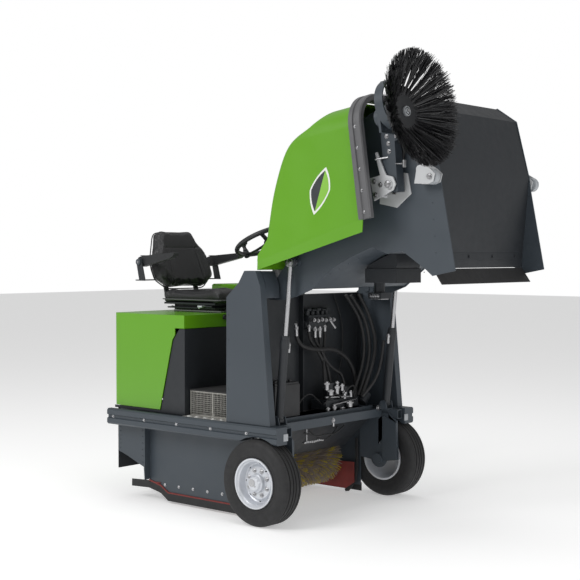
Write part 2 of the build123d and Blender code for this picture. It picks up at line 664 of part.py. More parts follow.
# ---------------------------------------------------------------- engine cover with the side console
LEVER = (-640, 330)
LEVER_PIN_Z = 1100
LATCH_Y, LATCH_Z = -215, 966
with BuildPart() as engine_cover:
    box(REAR_X, COVER_FRONT, -COVER_Y, COVER_Y, 496, COVER_TOP)
    box(REAR_X, -600, CONSOLE_Y, COVER_Y, COVER_TOP - 40, CONSOLE_TOP)
    rear_corners = engine_cover.edges().filter_by(Axis.Z).group_by(Axis.X)[0]
    fillet(rear_corners.filter_by(lambda edge: abs(edge.center().Y) > COVER_Y - 2), 32)
    fillet(engine_cover.faces().filter_by(Axis.Z).group_by(Axis.Z)[-1].edges(), 12)
    box(REAR_X + SHEET, COVER_FRONT - SHEET, -COVER_Y + SHEET, COVER_Y - SHEET, 490, COVER_TOP - SHEET, Mode.SUBTRACT)
    box(REAR_X + 16, -612, CONSOLE_Y + SHEET, COVER_Y - 12, COVER_TOP - 50, CONSOLE_TOP - SHEET, Mode.SUBTRACT)
    box(-600, COVER_FRONT + 5, -COVER_Y - 5, COVER_Y + 5, 490, 919, Mode.SUBTRACT)
    for side in SIDES.values():
        plate(side, COVER_Y - 20, COVER_Y + 5, CUT_LINE + [(-520, 919), (-520, 480), (-712, 480)], Mode.SUBTRACT)
    # slot and ears for the lift lever
    box(LEVER[0] - 20, LEVER[0] + 20, LEVER[1] - 10, LEVER[1] + 10, CONSOLE_TOP - 20, CONSOLE_TOP + 5, Mode.SUBTRACT)
    for y in (LEVER[1] - 18, LEVER[1] + 13):
        box(LEVER[0] - 15, LEVER[0] + 15, y, y + 5, LEVER_PIN_Z - 14, CONSOLE_TOP - SHEET)
    cross_rod(LEVER[0], LEVER_PIN_Z, LEVER[1] - 20, LEVER[1] + 20, 8 + FIT, Mode.SUBTRACT)
    # hole for the latch shaft
    with Locations((COVER_FRONT - 2, LATCH_Y, LATCH_Z)):
        Cylinder(6 + FIT, 16, rotation=(0, 90, 0), mode=Mode.SUBTRACT)
    # hinge sleeves at the foot of the rear wall
    for side in SIDES.values():
        cross_rod(*COVER_HINGE, *sided(side, 208, 292), 11)
        box(-1082, REAR_X + 2, *sided(side, 208, 292), 497, 504)
        cross_rod(*COVER_HINGE, *sided(side, 205, 295), 5 + FIT, Mode.SUBTRACT)
write(engine_cover, "engine_cover")

with BuildPart() as cover_latch:
    with Locations((COVER_FRONT + 7, LATCH_Y, LATCH_Z)):
        Cylinder(13, 12, rotation=(0, 90, 0))
    with Locations((COVER_FRONT - 3, LATCH_Y, LATCH_Z)):
        Cylinder(6, 12, rotation=(0, 90, 0))
    box(COVER_FRONT + 8, COVER_FRONT + 14, LATCH_Y - 5, LATCH_Y + 26, LATCH_Z - 5, LATCH_Z + 5)
write(cover_latch, "cover_latch")

# ---------------------------------------------------------------- seat
SEAT_X0, SEAT_X1 = -995, -545
ARMREST_PIN = (-1100, 1252)
with BuildPart() as seat_rails:
    for y in (-150, 150):
        box(-960, -600, y - 18, y + 18, COVER_TOP + 0.5, 994)
        box(-940, -620, y - 9, y + 9, 994, 1003)
    box(-930, -900, -132, 132, COVER_TOP + 0.5, 991)
write(seat_rails, "seat_rails")

with BuildPart() as seat_pan:
    for y in (-150, 150):
        for y0, y1 in ((y - 22, y - 10), (y + 10, y + 22)):
            box(-950, -610, y0, y1, 995, 1010)
    box(-960, -600, -215, 215, 1004.5, 1012)
    box(-930, -640, -190, 190, 1012, 1026)
    box(-975, -590, -225, 225, 1026, 1036)
    # back frame with the armrest pins
    for side in SIDES.values():
        plate(side, 100, 130, [(-960, 1026), (-1062, 1026), (-1082, 1110), (-1133, 1236), (-1121, 1241),
                               (-1072, 1112), (-1050, 1036), (-960, 1036)])
        box(-1128, -1092, *sided(side, 100, 296), 1150, 1156)
        plate(side, 290, 296, [(-1118, 1236), (-1118, 1268), (-1082, 1268), (-1050, 1150), (-1098, 1150)])
        cross_rod(*ARMREST_PIN, *sided(side, 245, 296), 12)
write(seat_pan, "seat_pan")

with BuildPart() as seat_cushion:
    with BuildSketch(Plane.XZ.offset(238)):
        with BuildLine():
            Spline((SEAT_X1 - 6, 1046), (SEAT_X1, 1070), (-570, 1098), (-640, 1092), (-760, 1076), (-860, 1082),
                   (SEAT_X0, 1100))
            Polyline((SEAT_X0, 1100), (SEAT_X0, 1037), (SEAT_X1 - 20, 1037), (SEAT_X1 - 6, 1046))
        make_face()
    extrude(amount=-476)
    fillet(seat_cushion.edges().filter_by(Axis.Z), 30)
write(seat_cushion, "seat_cushion")

BACK_FOOT = (-1066, 1108)
RECLINE = 22
with BuildPart() as seat_backrest:
    back_plane = Plane(origin=(BACK_FOOT[0], 0, BACK_FOOT[1]), x_dir=(0, 1, 0),
                       z_dir=(cos(radians(RECLINE)), 0, sin(radians(RECLINE))))
    with BuildSketch(back_plane):
        with BuildLine():
            Polyline((-140, -12), (-212, 42), (-217, 110), (-203, 170), (-129, 328), (129, 328), (203, 170),
                     (217, 110), (212, 42), (140, -12), close=True)
        make_face()
        fillet(vertices(), 38)
    extrude(amount=70)
    fillet(seat_backrest.faces().sort_by(Axis.X)[-1].edges(), 18)
write(seat_backrest, "seat_backrest")

for word, side in SIDES.items():
    with BuildPart() as armrest:
        plate(side, 246, 284, [(-1125, 1240), (-1120, 1276), (-1090, 1286), (-842, 1304), (-838, 1290),
                               (-870, 1272), (-1090, 1226), (-1115, 1226)])
        fillet(armrest.edges().filter_by(Axis.Y), 4)
        cross_rod(*ARMREST_PIN, *sided(side, 240, 290), 12 + FIT, Mode.SUBTRACT)
    write(armrest, f"{word}_armrest")

# ---------------------------------------------------------------- steering
TILT = radians(COLUMN_TILT)
COLUMN_AXIS = Vector(-sin(TILT), 0, cos(TILT))


def along_column(distance, y=0, radius=0):
    """Plane across the steering column, a distance below (negative) or above the wheel's centre."""
    across = Vector(cos(TILT), 0, sin(TILT))
    centre = Vector(WHEEL_C[0], y, WHEEL_C[1]) + across * radius
    return Plane(origin=centre + COLUMN_AXIS * distance, x_dir=(0, 1, 0), z_dir=COLUMN_AXIS)


with BuildPart() as steering_column:
    with BuildSketch(along_column(-310)):
        Circle(36)
    extrude(amount=268)
    # bracket down to the bulkhead
    plate(1, -50, 50, [(-205.5, 960), (-216, 960), (-216, 1060), (-300, 1084), (-262, 1130), (-205.5, 1098)])
    with BuildSketch(along_column(-142)) as bore:
        Circle(12 + FIT)
    extrude(bore.sketch, amount=120, mode=Mode.SUBTRACT)
write(steering_column, "steering_column")

with BuildPart() as steering_wheel:
    with BuildSketch(Plane(origin=(WHEEL_C[0], 0, WHEEL_C[1]), x_dir=(cos(TILT), 0, sin(TILT)), z_dir=(0, -1, 0))):
        with Locations((WHEEL_R - 13, 0)):
            Circle(13)
    revolve(axis=Axis((WHEEL_C[0], 0, WHEEL_C[1]), COLUMN_AXIS))
    with BuildSketch(along_column(-38)):
        Circle(30)
    extrude(amount=42)
    with BuildSketch(along_column(-130)):
        Circle(12)
    extrude(amount=100)
    with BuildSketch(along_column(-10)):
        with PolarLocations(0, 3, start_angle=90):
            with Locations((88, 0)):
                Rectangle(176, 22)
    extrude(amount=8)
    with BuildSketch(along_column(0, 0, -WHEEL_R + 13)):
        Circle(15)
    extrude(amount=20)
write(steering_wheel, "steering_wheel")

with BuildPart() as spinner_knob:
    with BuildSketch(along_column(20.5, 0, -WHEEL_R + 13)):
        Circle(11)
    extrude(amount=44)
    with BuildSketch(along_column(52, 0, -WHEEL_R + 13)):
        Circle(24)
    extrude(amount=26)
    fillet(spinner_knob.edges().filter_by(GeomType.CIRCLE).group_by(SortBy.RADIUS)[-1], 8)
write(spinner_knob, "spinner_knob")

# ---------------------------------------------------------------- pedals and lift lever
for name, y in PEDAL_Y.items():
    with BuildPart() as pedal:
        plate(1, y - 45, y + 45, [(-420, 640), (-414, 634), (-262, 690), (-266, 698)])
        cross_rod(*PEDAL_PIN, y - 40, y + 40, 12)
        plate(1, y - 8, y + 8, [(-352, 640), (-328, 640), (-318, 672), (-344, 662)])
        cross_rod(*PEDAL_PIN, y - 60, y + 60, 8 + FIT, Mode.SUBTRACT)
    write(pedal, name)

with BuildPart() as lift_lever:
    with Locations((LEVER[0], LEVER[1], 1148)):
        Cylinder(6, 106)
    with Locations((LEVER[0], LEVER[1], 1212)):
        Sphere(17)
    cross_rod(LEVER[0], LEVER_PIN_Z, LEVER[1] - 18, LEVER[1] + 18, 8)
write(lift_lever, "lift_lever")
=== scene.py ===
import json
from math import cos, pi, radians, sin
import random

import bmesh
import bpy
from mathutils import Matrix, Vector

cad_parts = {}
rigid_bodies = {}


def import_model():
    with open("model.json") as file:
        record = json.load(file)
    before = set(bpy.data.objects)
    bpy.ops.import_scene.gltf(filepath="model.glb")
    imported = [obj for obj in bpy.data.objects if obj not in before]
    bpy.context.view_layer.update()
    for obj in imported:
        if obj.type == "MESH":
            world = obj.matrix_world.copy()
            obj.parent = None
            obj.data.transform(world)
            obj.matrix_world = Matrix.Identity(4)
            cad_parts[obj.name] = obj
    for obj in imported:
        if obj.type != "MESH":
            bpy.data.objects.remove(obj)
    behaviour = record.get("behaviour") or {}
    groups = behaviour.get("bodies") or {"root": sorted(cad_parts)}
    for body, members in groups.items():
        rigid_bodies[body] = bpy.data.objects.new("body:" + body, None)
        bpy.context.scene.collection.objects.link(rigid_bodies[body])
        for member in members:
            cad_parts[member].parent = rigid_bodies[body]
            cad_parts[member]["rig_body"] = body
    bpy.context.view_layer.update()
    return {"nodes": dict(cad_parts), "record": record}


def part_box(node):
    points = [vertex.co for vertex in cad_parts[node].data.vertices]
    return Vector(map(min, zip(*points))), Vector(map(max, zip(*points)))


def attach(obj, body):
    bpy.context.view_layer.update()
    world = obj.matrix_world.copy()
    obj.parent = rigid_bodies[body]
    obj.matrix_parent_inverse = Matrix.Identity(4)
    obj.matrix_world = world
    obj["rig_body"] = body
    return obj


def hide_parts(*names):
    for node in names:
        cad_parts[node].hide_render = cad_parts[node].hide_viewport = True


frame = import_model()

MM = 0.001
hubs = [sum(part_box(f"{word}_tyre"), Vector()) / 2 for word in ("left", "right")]
ORIGIN = Vector((hubs[0].x, (hubs[0].y + hubs[1].y) / 2, 0))  # ground under the front axle's middle
SIDES = {"right": -1, "left": 1}
LOWERING = radians(98)  # the hopper's turn from raised to down
LEVEL_X = Vector((cos(LOWERING), 0, sin(LOWERING)))
LEVEL_Z = Vector((-sin(LOWERING), 0, cos(LOWERING)))
SLOT_OF = {s["node"]: s["material_slot"] for s in frame["record"]["subparts"]}
rng = random.Random(7)


def at(x, y, z):
    """A point given in millimetres from the ground under the front axle."""
    return ORIGIN + Vector((x, y, z)) * MM


# ---------------------------------------------------------------- materials
def material(name, colour, roughness, metallic=0.0, coat=0.0, mottle=0.08, mottle_scale=6.0, grain=900.0,
             bump=0.04, dust=0.0, cells=None):
    """A procedural surface: mottled colour, uneven gloss, fine grain and settled dust."""
    m = bpy.data.materials.new(name)
    m.use_nodes = True
    tree = m.node_tree
    shader = tree.nodes["Principled BSDF"]
    shader.inputs["Metallic"].default_value = metallic
    shader.inputs["Coat Weight"].default_value = coat
    shader.inputs["Coat Roughness"].default_value = 0.12

    def node(kind, **values):
        n = tree.nodes.new(kind)
        for key, value in values.items():
            setattr(n, key, value)
        return n

    place = node("ShaderNodeTexCoord").outputs["Object"]

    def noise(scale, detail, roughness=0.55):
        n = node("ShaderNodeTexNoise")
        tree.links.new(place, n.inputs["Vector"])
        n.inputs["Scale"].default_value = scale
        n.inputs["Detail"].default_value = detail
        n.inputs["Roughness"].default_value = roughness
        return n.outputs["Fac"]

    def remap(value, low, high, out_low, out_high):
        n = node("ShaderNodeMapRange")
        tree.links.new(value, n.inputs["Value"])
        for key, number in (("From Min", low), ("From Max", high), ("To Min", out_low), ("To Max", out_high)):
            n.inputs[key].default_value = number
        return n.outputs["Result"]

    def mix(factor, a, b):
        n = node("ShaderNodeMix", data_type="RGBA")
        tree.links.new(factor, n.inputs["Factor"])
        for socket, value in ((n.inputs["A"], a), (n.inputs["B"], b)):
            if isinstance(value, tuple):
                socket.default_value = (*value, 1)
            else:
                tree.links.new(value, socket)
        return n.outputs["Result"]

    dark = tuple(c * (1 - mottle) for c in colour)
    light = tuple(min(1.0, c * (1 + mottle) + 0.002) for c in colour)
    base = mix(remap(noise(mottle_scale, 5), 0.3, 0.7, 0, 1), dark, light)
    if dust:
        normal = node("ShaderNodeNewGeometry").outputs["Normal"]
        split = node("ShaderNodeSeparateXYZ")
        tree.links.new(normal, split.inputs["Vector"])
        up = remap(split.outputs["Z"], 0.2, 1.0, 0, dust)
        patch = node("ShaderNodeMath", operation="MULTIPLY")
        tree.links.new(up, patch.inputs[0])
        tree.links.new(remap(noise(14, 6), 0.35, 0.65, 0.3, 1), patch.inputs[1])
        base = mix(patch.outputs[0], base, (0.34, 0.32, 0.29))
    tree.links.new(base, shader.inputs["Base Color"])
    tree.links.new(remap(noise(mottle_scale * 4, 6), 0.3, 0.7, roughness * 0.86, min(1, roughness * 1.14)),
                   shader.inputs["Roughness"])
    height = noise(grain, 3)
    if cells:
        v = node("ShaderNodeTexVoronoi", feature="DISTANCE_TO_EDGE")
        tree.links.new(place, v.inputs["Vector"])
        v.inputs["Scale"].default_value = cells
        sum_up = node("ShaderNodeMath", operation="ADD")
        tree.links.new(remap(v.outputs["Distance"], 0, 0.14, 0, 1), sum_up.inputs[0])
        tree.links.new(height, sum_up.inputs[1])
        height = sum_up.outputs[0]
    bumped = node("ShaderNodeBump")
    bumped.inputs["Strength"].default_value = bump
    bumped.inputs["Distance"].default_value = 0.001
    tree.links.new(height, bumped.inputs["Height"])
    tree.links.new(bumped.outputs["Normal"], shader.inputs["Normal"])
    return m


MATERIALS = {
    "green_plastic": material("green_plastic", (0.115, 0.345, 0.003), 0.36, coat=0.3, mottle=0.025,
                              mottle_scale=2.2,
                              grain=380, bump=0.035),
    "slate_paint": material("slate_paint", (0.046, 0.058, 0.071), 0.46, mottle=0.03, mottle_scale=3,
                            grain=1100,
                            bump=0.07, dust=0.012),
    "black_paint": material("black_paint", (0.016, 0.019, 0.023), 0.5, mottle=0.04, grain=1000, bump=0.07,
                            dust=0.01),
    "silver_paint": material("silver_paint", (0.66, 0.68, 0.72), 0.34, metallic=0.35, coat=0.2, mottle=0.03,
                             grain=700,
                             bump=0.04),
    "light_cast": material("light_cast", (0.55, 0.56, 0.57), 0.5, metallic=0.25, mottle=0.04, grain=500,
                           bump=0.16),
    "steel": material("steel", (0.46, 0.46, 0.47), 0.28, metallic=1.0, mottle=0.06, grain=1500, bump=0.02),
    "zinc_mesh": material("zinc_mesh", (0.55, 0.54, 0.5), 0.38, metallic=0.9, mottle=0.15, mottle_scale=40,
                          grain=1200, bump=0.05),
    "tread": material("tread", (0.62, 0.62, 0.6), 0.34, metallic=0.75, mottle=0.12, mottle_scale=20,
                      grain=900,
                      bump=0.06, dust=0.12),
    "tyre": material("tyre", (0.017, 0.017, 0.018), 0.72, mottle=0.1, mottle_scale=9, grain=800, bump=0.16,
                     dust=0.03),
    "black_rubber": material("black_rubber", (0.015, 0.015, 0.016), 0.62, mottle=0.08, grain=900, bump=0.12,
                             dust=0.02),
    "red_rubber": material("red_rubber", (0.2, 0.03, 0.026), 0.7, mottle=0.2, mottle_scale=12, grain=700,
                           bump=0.14,
                           dust=0.05),
    "grey_rubber": material("grey_rubber", (0.115, 0.115, 0.12), 0.42, mottle=0.06, grain=800, bump=0.06),
    "black_plastic": material("black_plastic", (0.017, 0.018, 0.02), 0.46, mottle=0.08, grain=600, bump=0.08,
                              cells=420),
    "grey_plastic": material("grey_plastic", (0.36, 0.38, 0.40), 0.3, mottle=0.1, grain=600, bump=0.05,
                             coat=0.3),
    "seat_vinyl": material("seat_vinyl", (0.014, 0.014, 0.016), 0.4, mottle=0.06, mottle_scale=12, grain=700,
                           bump=0.3, cells=520, coat=0.08),
    "brush_fibre": material("brush_fibre", (0.30, 0.25, 0.21), 0.62, mottle=0.22, mottle_scale=30, grain=900,
                            bump=0.1),
    "yellow_fibre": material("yellow_fibre", (0.56, 0.44, 0.03), 0.55, mottle=0.2, mottle_scale=30, grain=900,
                             bump=0.1),
    "black_fibre": material("black_fibre", (0.012, 0.012, 0.014), 0.36, mottle=0.3, mottle_scale=50,
                            grain=900,
                            bump=0.05),
    "white_print": material("white_print", (0.82, 0.83, 0.8), 0.4, mottle=0.03, grain=600, bump=0.02),
    "dark_print": material("dark_print", (0.035, 0.04, 0.045), 0.4, mottle=0.05, grain=600, bump=0.02),
    "light_green_print": material("light_green_print", (0.24, 0.52, 0.06), 0.4, mottle=0.03, grain=600,
                                  bump=0.02),
}


# ---------------------------------------------------------------- mesh helpers
def link(name, mesh, look, body, slot=None, replaces=()):
    o = bpy.data.objects.new(name, mesh)
    bpy.context.scene.collection.objects.link(o)
    mesh.materials.clear()
    for key in look if isinstance(look, (list, tuple)) else [look]:
        mesh.materials.append(MATERIALS[key])
    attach(o, body)
    if replaces:
        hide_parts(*replaces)
    return o


def soften(o, width, segments=2, angle=30):
    """Rounds a piece's edges and evens out its shading."""
    if width:
        bevel = o.modifiers.new("bevel", "BEVEL")
        bevel.width = width * MM
        bevel.segments = segments
        bevel.limit_method = "ANGLE"
        bevel.angle_limit = radians(angle)
        bevel.miter_outer = "MITER_ARC"
    for p in o.data.polygons:
        p.use_smooth = True
    even = o.modifiers.new("even", "WEIGHTED_NORMAL")
    even.keep_sharp = True
    return o


def dressed(node, look=None, width=1.4, name=None, change=None, segments=2):
    """A finished copy of a CAD node: welded, with rounded edges and its material."""
    source = frame["nodes"][node]
    bm = bmesh.new()
    bm.from_mesh(source.data)
    bmesh.ops.remove_doubles(bm, verts=bm.verts, dist=1e-5)
    bmesh.ops.dissolve_limit(bm, angle_limit=radians(0.4), verts=bm.verts, edges=bm.edges)
    if change:
        change(bm)
    mesh = bpy.data.meshes.new(name or node + "_finished")
    bm.to_mesh(mesh)
    bm.free()
    o = link(name or node + "_finished", mesh, look or SLOT_OF[node], source["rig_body"], SLOT_OF[node],
             [node])
    return soften(o, width, segments)


class Parts:
    """Collects simple solids into one mesh."""

    def __init__(self):
        self.bm = bmesh.new()

    def rod(self, start, end, radius, sides=20, end_radius=None):
        start, end = Vector(start), Vector(end)
        along = end - start
        turn = along.to_track_quat("Z", "Y").to_matrix().to_4x4()
        bmesh.ops.create_cone(
            self.bm, cap_ends=True, segments=sides, radius1=radius,
            radius2=radius if end_radius is None else end_radius,
            depth=along.length, matrix=Matrix.Translation((start + end) / 2) @ turn,
        )
        return self

    def block(self, low, high, turn=None):
        low, high = Vector(low), Vector(high)
        size = Matrix.Diagonal((*(high - low), 1))
        place = Matrix.Translation((low + high) / 2)
        bmesh.ops.create_cube(self.bm, size=1, matrix=place @ (turn or Matrix.Identity(4)) @ size)
        return self

    def ball(self, centre, radius, sides=20):
        bmesh.ops.create_uvsphere(self.bm, u_segments=sides, v_segments=sides // 2, radius=radius,
                                  matrix=Matrix.Translation(centre))
        return self

    def bolt(self, place, axis, radius, height=None):
        """A hexagon head on a washer."""
        place, axis = Vector(place), Vector(axis).normalized()
        height = height or radius * 0.8
        self.rod(place, place + axis * radius * 0.22, radius * 1.45, 20)
        self.rod(place + axis * radius * 0.2, place + axis * (radius * 0.2 + height * 0.85), radius, 6)
        self.rod(place + axis * (radius * 0.2 + height * 0.85), place + axis * (radius * 0.2 + height),
                 radius, 6,
                 radius * 0.82)
        return self

    def finish(self, name, look, body, width=0.6, slot=None, replaces=()):
        mesh = bpy.data.meshes.new(name)
        self.bm.to_mesh(mesh)
        self.bm.free()
        return soften(link(name, mesh, look, body, slot, replaces), width)


def tube(name, points, radius, look, body, replaces=()):
    """A hose or bar along a smooth curve."""
    curve = bpy.data.curves.new(name, "CURVE")
    curve.dimensions = "3D"
    curve.bevel_depth = radius * MM
    curve.bevel_resolution = 5
    curve.use_fill_caps = True
    curve.resolution_u = 10
    spline = curve.splines.new("NURBS")
    spline.points.add(len(points) - 1)
    for place, p in zip(spline.points, points):
        place.co = (*at(*p), 1)
    spline.order_u = 3
    spline.use_endpoint_u = True
    o = bpy.data.objects.new(name, curve)
    bpy.context.scene.collection.objects.link(o)
    curve.materials.append(MATERIALS[look])
    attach(o, body)
    if replaces:
        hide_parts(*replaces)
    return o


# ---------------------------------------------------------------- sheet metal and castings
def crease_hood(bm):
    """A faint fold along the hood's lower edge, with the band below it leaning in."""
    low, high = at(-22, 0, 1262), at(604, 0, 1452)
    along = (high - low).normalized()
    across = Vector((-along.z, 0, along.x))
    for shift in (0.0, 0.004):
        bmesh.ops.bisect_plane(bm, geom=bm.verts[:] + bm.edges[:] + bm.faces[:],
                               plane_co=low - across * shift,
                               plane_no=across, dist=1e-6)
    for v in bm.verts:
        below = -(v.co - low).dot(across)
        if below > 0.0035 and abs(v.co.y - ORIGIN.y) > 0.5:
            v.co.y -= (1 if v.co.y > ORIGIN.y else -1) * (0.0016 + 0.05 * (below - 0.004))


dressed("hood", width=1.2, change=crease_hood)
dressed("hood_bumper", width=1.0)
for word in SIDES:
    dressed(f"{word}_post", width=2.2, segments=3)
    dressed(f"{word}_rail", width=1.8)
    dressed(f"{word}_skirt_panel", width=0.9)
    dressed(f"{word}_hopper_side", width=1.2)
    dressed(f"{word}_armrest", width=3.0, segments=3)
    dressed(f"{word}_lift_barrel", width=1.0)
    dressed(f"{word}_lift_rod", width=1.0)
    dressed(f"{word}_roller", width=0.8)
dressed("engine_cover", width=1.6, segments=3)
for node in ("chassis_frame", "bulkhead", "bay_shroud", "hopper_bin", "hopper_floor", "hopper_flap",
             "drive_fork",
             "brush_arms", "brush_core", "skirt_lips", "skirt_seals", "roller_brackets", "side_brush_bracket",
             "side_brush_arm", "side_brush_disc", "seat_rails", "seat_pan", "cover_latch", "lift_lever",
             "drive_pedal",
             "brake_pedal", "foot_platform", "engine", "battery", "steering_column", "shaker_unit",
             "drive_wheel"):
    dressed(node, width=1.2)


# ---------------------------------------------------------------- turned pieces
def turned(name, profile, origin, axis, look, body, segments=96, closed=True, sharp=38, **say):
    """A lathe form from (radius, distance along the axis) pairs in millimetres."""
    axis = Vector(axis).normalized()
    across = axis.orthogonal().normalized()
    third = axis.cross(across)
    bm = bmesh.new()
    rings = []
    for k in range(segments):
        a = 2 * pi * k / segments
        out = across * cos(a) + third * sin(a)
        rings.append([bm.verts.new(origin + (out * r + axis * d) * MM) for r, d in profile])
    count = len(profile)
    for k in range(segments):
        here, there = rings[k], rings[(k + 1) % segments]
        for i in range(count if closed else count - 1):
            j = (i + 1) % count
            bm.faces.new((here[i], here[j], there[j], there[i]))
    bmesh.ops.remove_doubles(bm, verts=bm.verts, dist=1e-6)
    bmesh.ops.recalc_face_normals(bm, faces=bm.faces)
    mesh = bpy.data.meshes.new(name)
    bm.to_mesh(mesh)
    bm.free()
    o = link(name, mesh, look, body, **say)
    for p in mesh.polygons:
        p.use_smooth = True
    mesh.set_sharp_from_angle(angle=radians(sharp))
    return o


def strands(name, paths, look, body, sides=3, **say):
    """Many thin fibres; each is a list of (point, radius) along its length."""
    places, faces = [], []
    for path in paths:
        first = len(places)
        along = (path[-1][0] - path[0][0]).normalized()
        across = along.orthogonal().normalized()
        third = along.cross(across)
        spin = rng.random() * 2 * pi
        for point, radius in path:
            for s in range(sides):
                a = spin + 2 * pi * s / sides
                places.append(point + (across * cos(a) + third * sin(a)) * radius)
        for k in range(len(path) - 1):
            for s in range(sides):
                t = (s + 1) % sides
                a = first + k * sides
                faces.append((a + s, a + t, a + sides + t, a + sides + s))
        faces.append(tuple(first + s for s in reversed(range(sides))))
        last = first + (len(path) - 1) * sides
        faces.append(tuple(last + s for s in range(sides)))
    mesh = bpy.data.meshes.new(name)
    mesh.from_pydata(places, [], faces)
    return link(name, mesh, look, body, **say)


# ---------------------------------------------------------------- front wheels
TYRE_R, TYRE_Y = 207.5, 508
TYRE_HALF = [
    (119, 50), (122, 54.5), (129, 57.5), (133, 57), (136, 59), (141, 60.5), (144, 59.8), (150, 61.6),
    (160, 63.8),
    (172, 65), (176, 64.2), (182, 64.4), (190, 62.6), (196, 59), (200, 54.6), (203, 50.5), (203.4, 47.5),
    (206.2, 44.5), (207.3, 41), (207.5, 36), (201.5, 35), (201.5, 30.5), (207.5, 29.5), (207.5, 12.5),
    (201.5, 11.5),
    (201.5, 7), (207.5, 6),
]
RIM = [
    (0, 64), (30, 64), (33.5, 61), (35, 56), (38, 50), (43, 46.5), (44.5, 30), (47, 27.5), (70, 27),
    (77, 25.5),
    (82, 19), (86, 14), (91, 12), (96, 15), (99, 24), (101.5, 40), (103.5, 49), (108, 52.5), (110.5, 57),
    (112, 61.5),
    (116, 63.5), (120, 63), (121.5, 59.5), (120, 55), (113, 50), (108.5, 0), (112, -50), (120, -56),
    (121, -62),
    (112, -62), (104, -50), (100, 0), (92, 6), (80, 12), (60, 20), (40, 24), (30, 24), (18, 24), (18, 58.5),
    (0, 58.5),
]


def wheel(word, side):
    body = f"{word}_wheel"
    hub = at(0, side * TYRE_Y, TYRE_R)
    outwards = Vector((0, side, 0))
    profile = TYRE_HALF + [(r, -y) for r, y in reversed(TYRE_HALF)]
    turned(f"{word}_tyre_rubber", profile, hub, outwards, "tyre", body, 160, replaces=[f"{word}_tyre"],
           sharp=30)
    turned(f"{word}_wheel_disc", RIM, hub, outwards, "silver_paint", body, 128, replaces=[f"{word}_rim"])
    nuts = Parts()
    for k in range(8):
        a = 2 * pi * (k + 0.5) / 8
        out = Vector((cos(a), 0, sin(a)))
        nuts.bolt(hub + (out * 61 + outwards * 27) * MM, outwards, 8.2 * MM, 8 * MM)
        nuts.rod(hub + (out * 61 + outwards * 30) * MM, hub + (out * 61 + outwards * 41) * MM, 4 * MM, 12)
    nuts.finish(f"{word}_wheel_nuts", "steel", body, 0.4)
    cap = Parts()
    cap.rod(hub + Vector((-0.008, side * 0.0635, 0.004)), hub + Vector((-0.008, side * 0.0662, 0.004)),
            0.019, 32)
    cap.rod(hub + Vector((0.012, side * 0.0635, -0.011)), hub + Vector((0.012, side * 0.0668, -0.011)),
            0.005, 6)
    cap.finish(f"{word}_hub_cap", "steel", body, 0.6)
    # Dark discs in the rim's trough: painted shade in place of vent holes, which the turned disc does not
    # have
    vents = Parts()
    for k in range(8):
        a = 2 * pi * k / 8
        out = Vector((cos(a), 0, sin(a)))
        vents.rod(hub + (out * 89 + outwards * 11.4) * MM, hub + (out * 89 + outwards * 13.2) * MM, 5 * MM,
                  16)
    vents.finish(f"{word}_wheel_vent_shade", "black_paint", body, 0)
    valve = Parts()
    place = hub + Vector((0.071, side * 0.024, 0.066))
    valve.rod(place, place + outwards * 0.03, 0.0035, 12)
    valve.finish(f"{word}_tyre_valve", "black_rubber", body, 0.4)


for word, side in SIDES.items():
    wheel(word, side)

# ---------------------------------------------------------------- brushes
BRUSH = at(-350, 0, 193)
BRUSH_R, BRUSH_HALF = 150, 367
ROWS, HELIX = 12, -radians(200)  # rows of stiff fibre, and their turn from end to end
BRUSH_FIBRES = 9600


def main_brush():
    """Twelve helical rows of stiff yellow fibre with softer beige fibre between them."""
    beige, yellow = [], []
    for _ in range(BRUSH_FIBRES):
        y = rng.uniform(-BRUSH_HALF, BRUSH_HALF)
        a = rng.uniform(0, 2 * pi)
        twist = HELIX * (y / (2 * BRUSH_HALF))
        row = ((a - twist) * ROWS / (2 * pi)) % 1
        stiff = row < 0.16
        reach = (BRUSH_R - rng.uniform(0, 2.5 if stiff else 9)) * MM
        lean = rng.gauss(0, 0.035)
        sway = rng.gauss(0, 0.004)
        root = BRUSH + Vector((60 * MM * cos(a), y * MM, -60 * MM * sin(a)))
        tip_y = max(-BRUSH_HALF * MM, min(BRUSH_HALF * MM, y * MM + sway))
        tip = BRUSH + Vector((reach * cos(a + lean), tip_y, -reach * sin(a + lean)))
        thick = 1.7 * MM if stiff else 1.5 * MM
        (yellow if stiff else beige).append([(root, thick), ((root + tip) / 2, thick), (tip, thick * 0.7)])
    strands("main_brush_soft_fibres", beige, "brush_fibre", "main_brush", replaces=["brush_bristles"])
    strands("main_brush_stiff_rows", yellow, "yellow_fibre", "main_brush", slot="brush_fibre")


main_brush()
SIDE_HUB = at(870, -550, 1901)
SIDE_AXIS = -LEVEL_Z


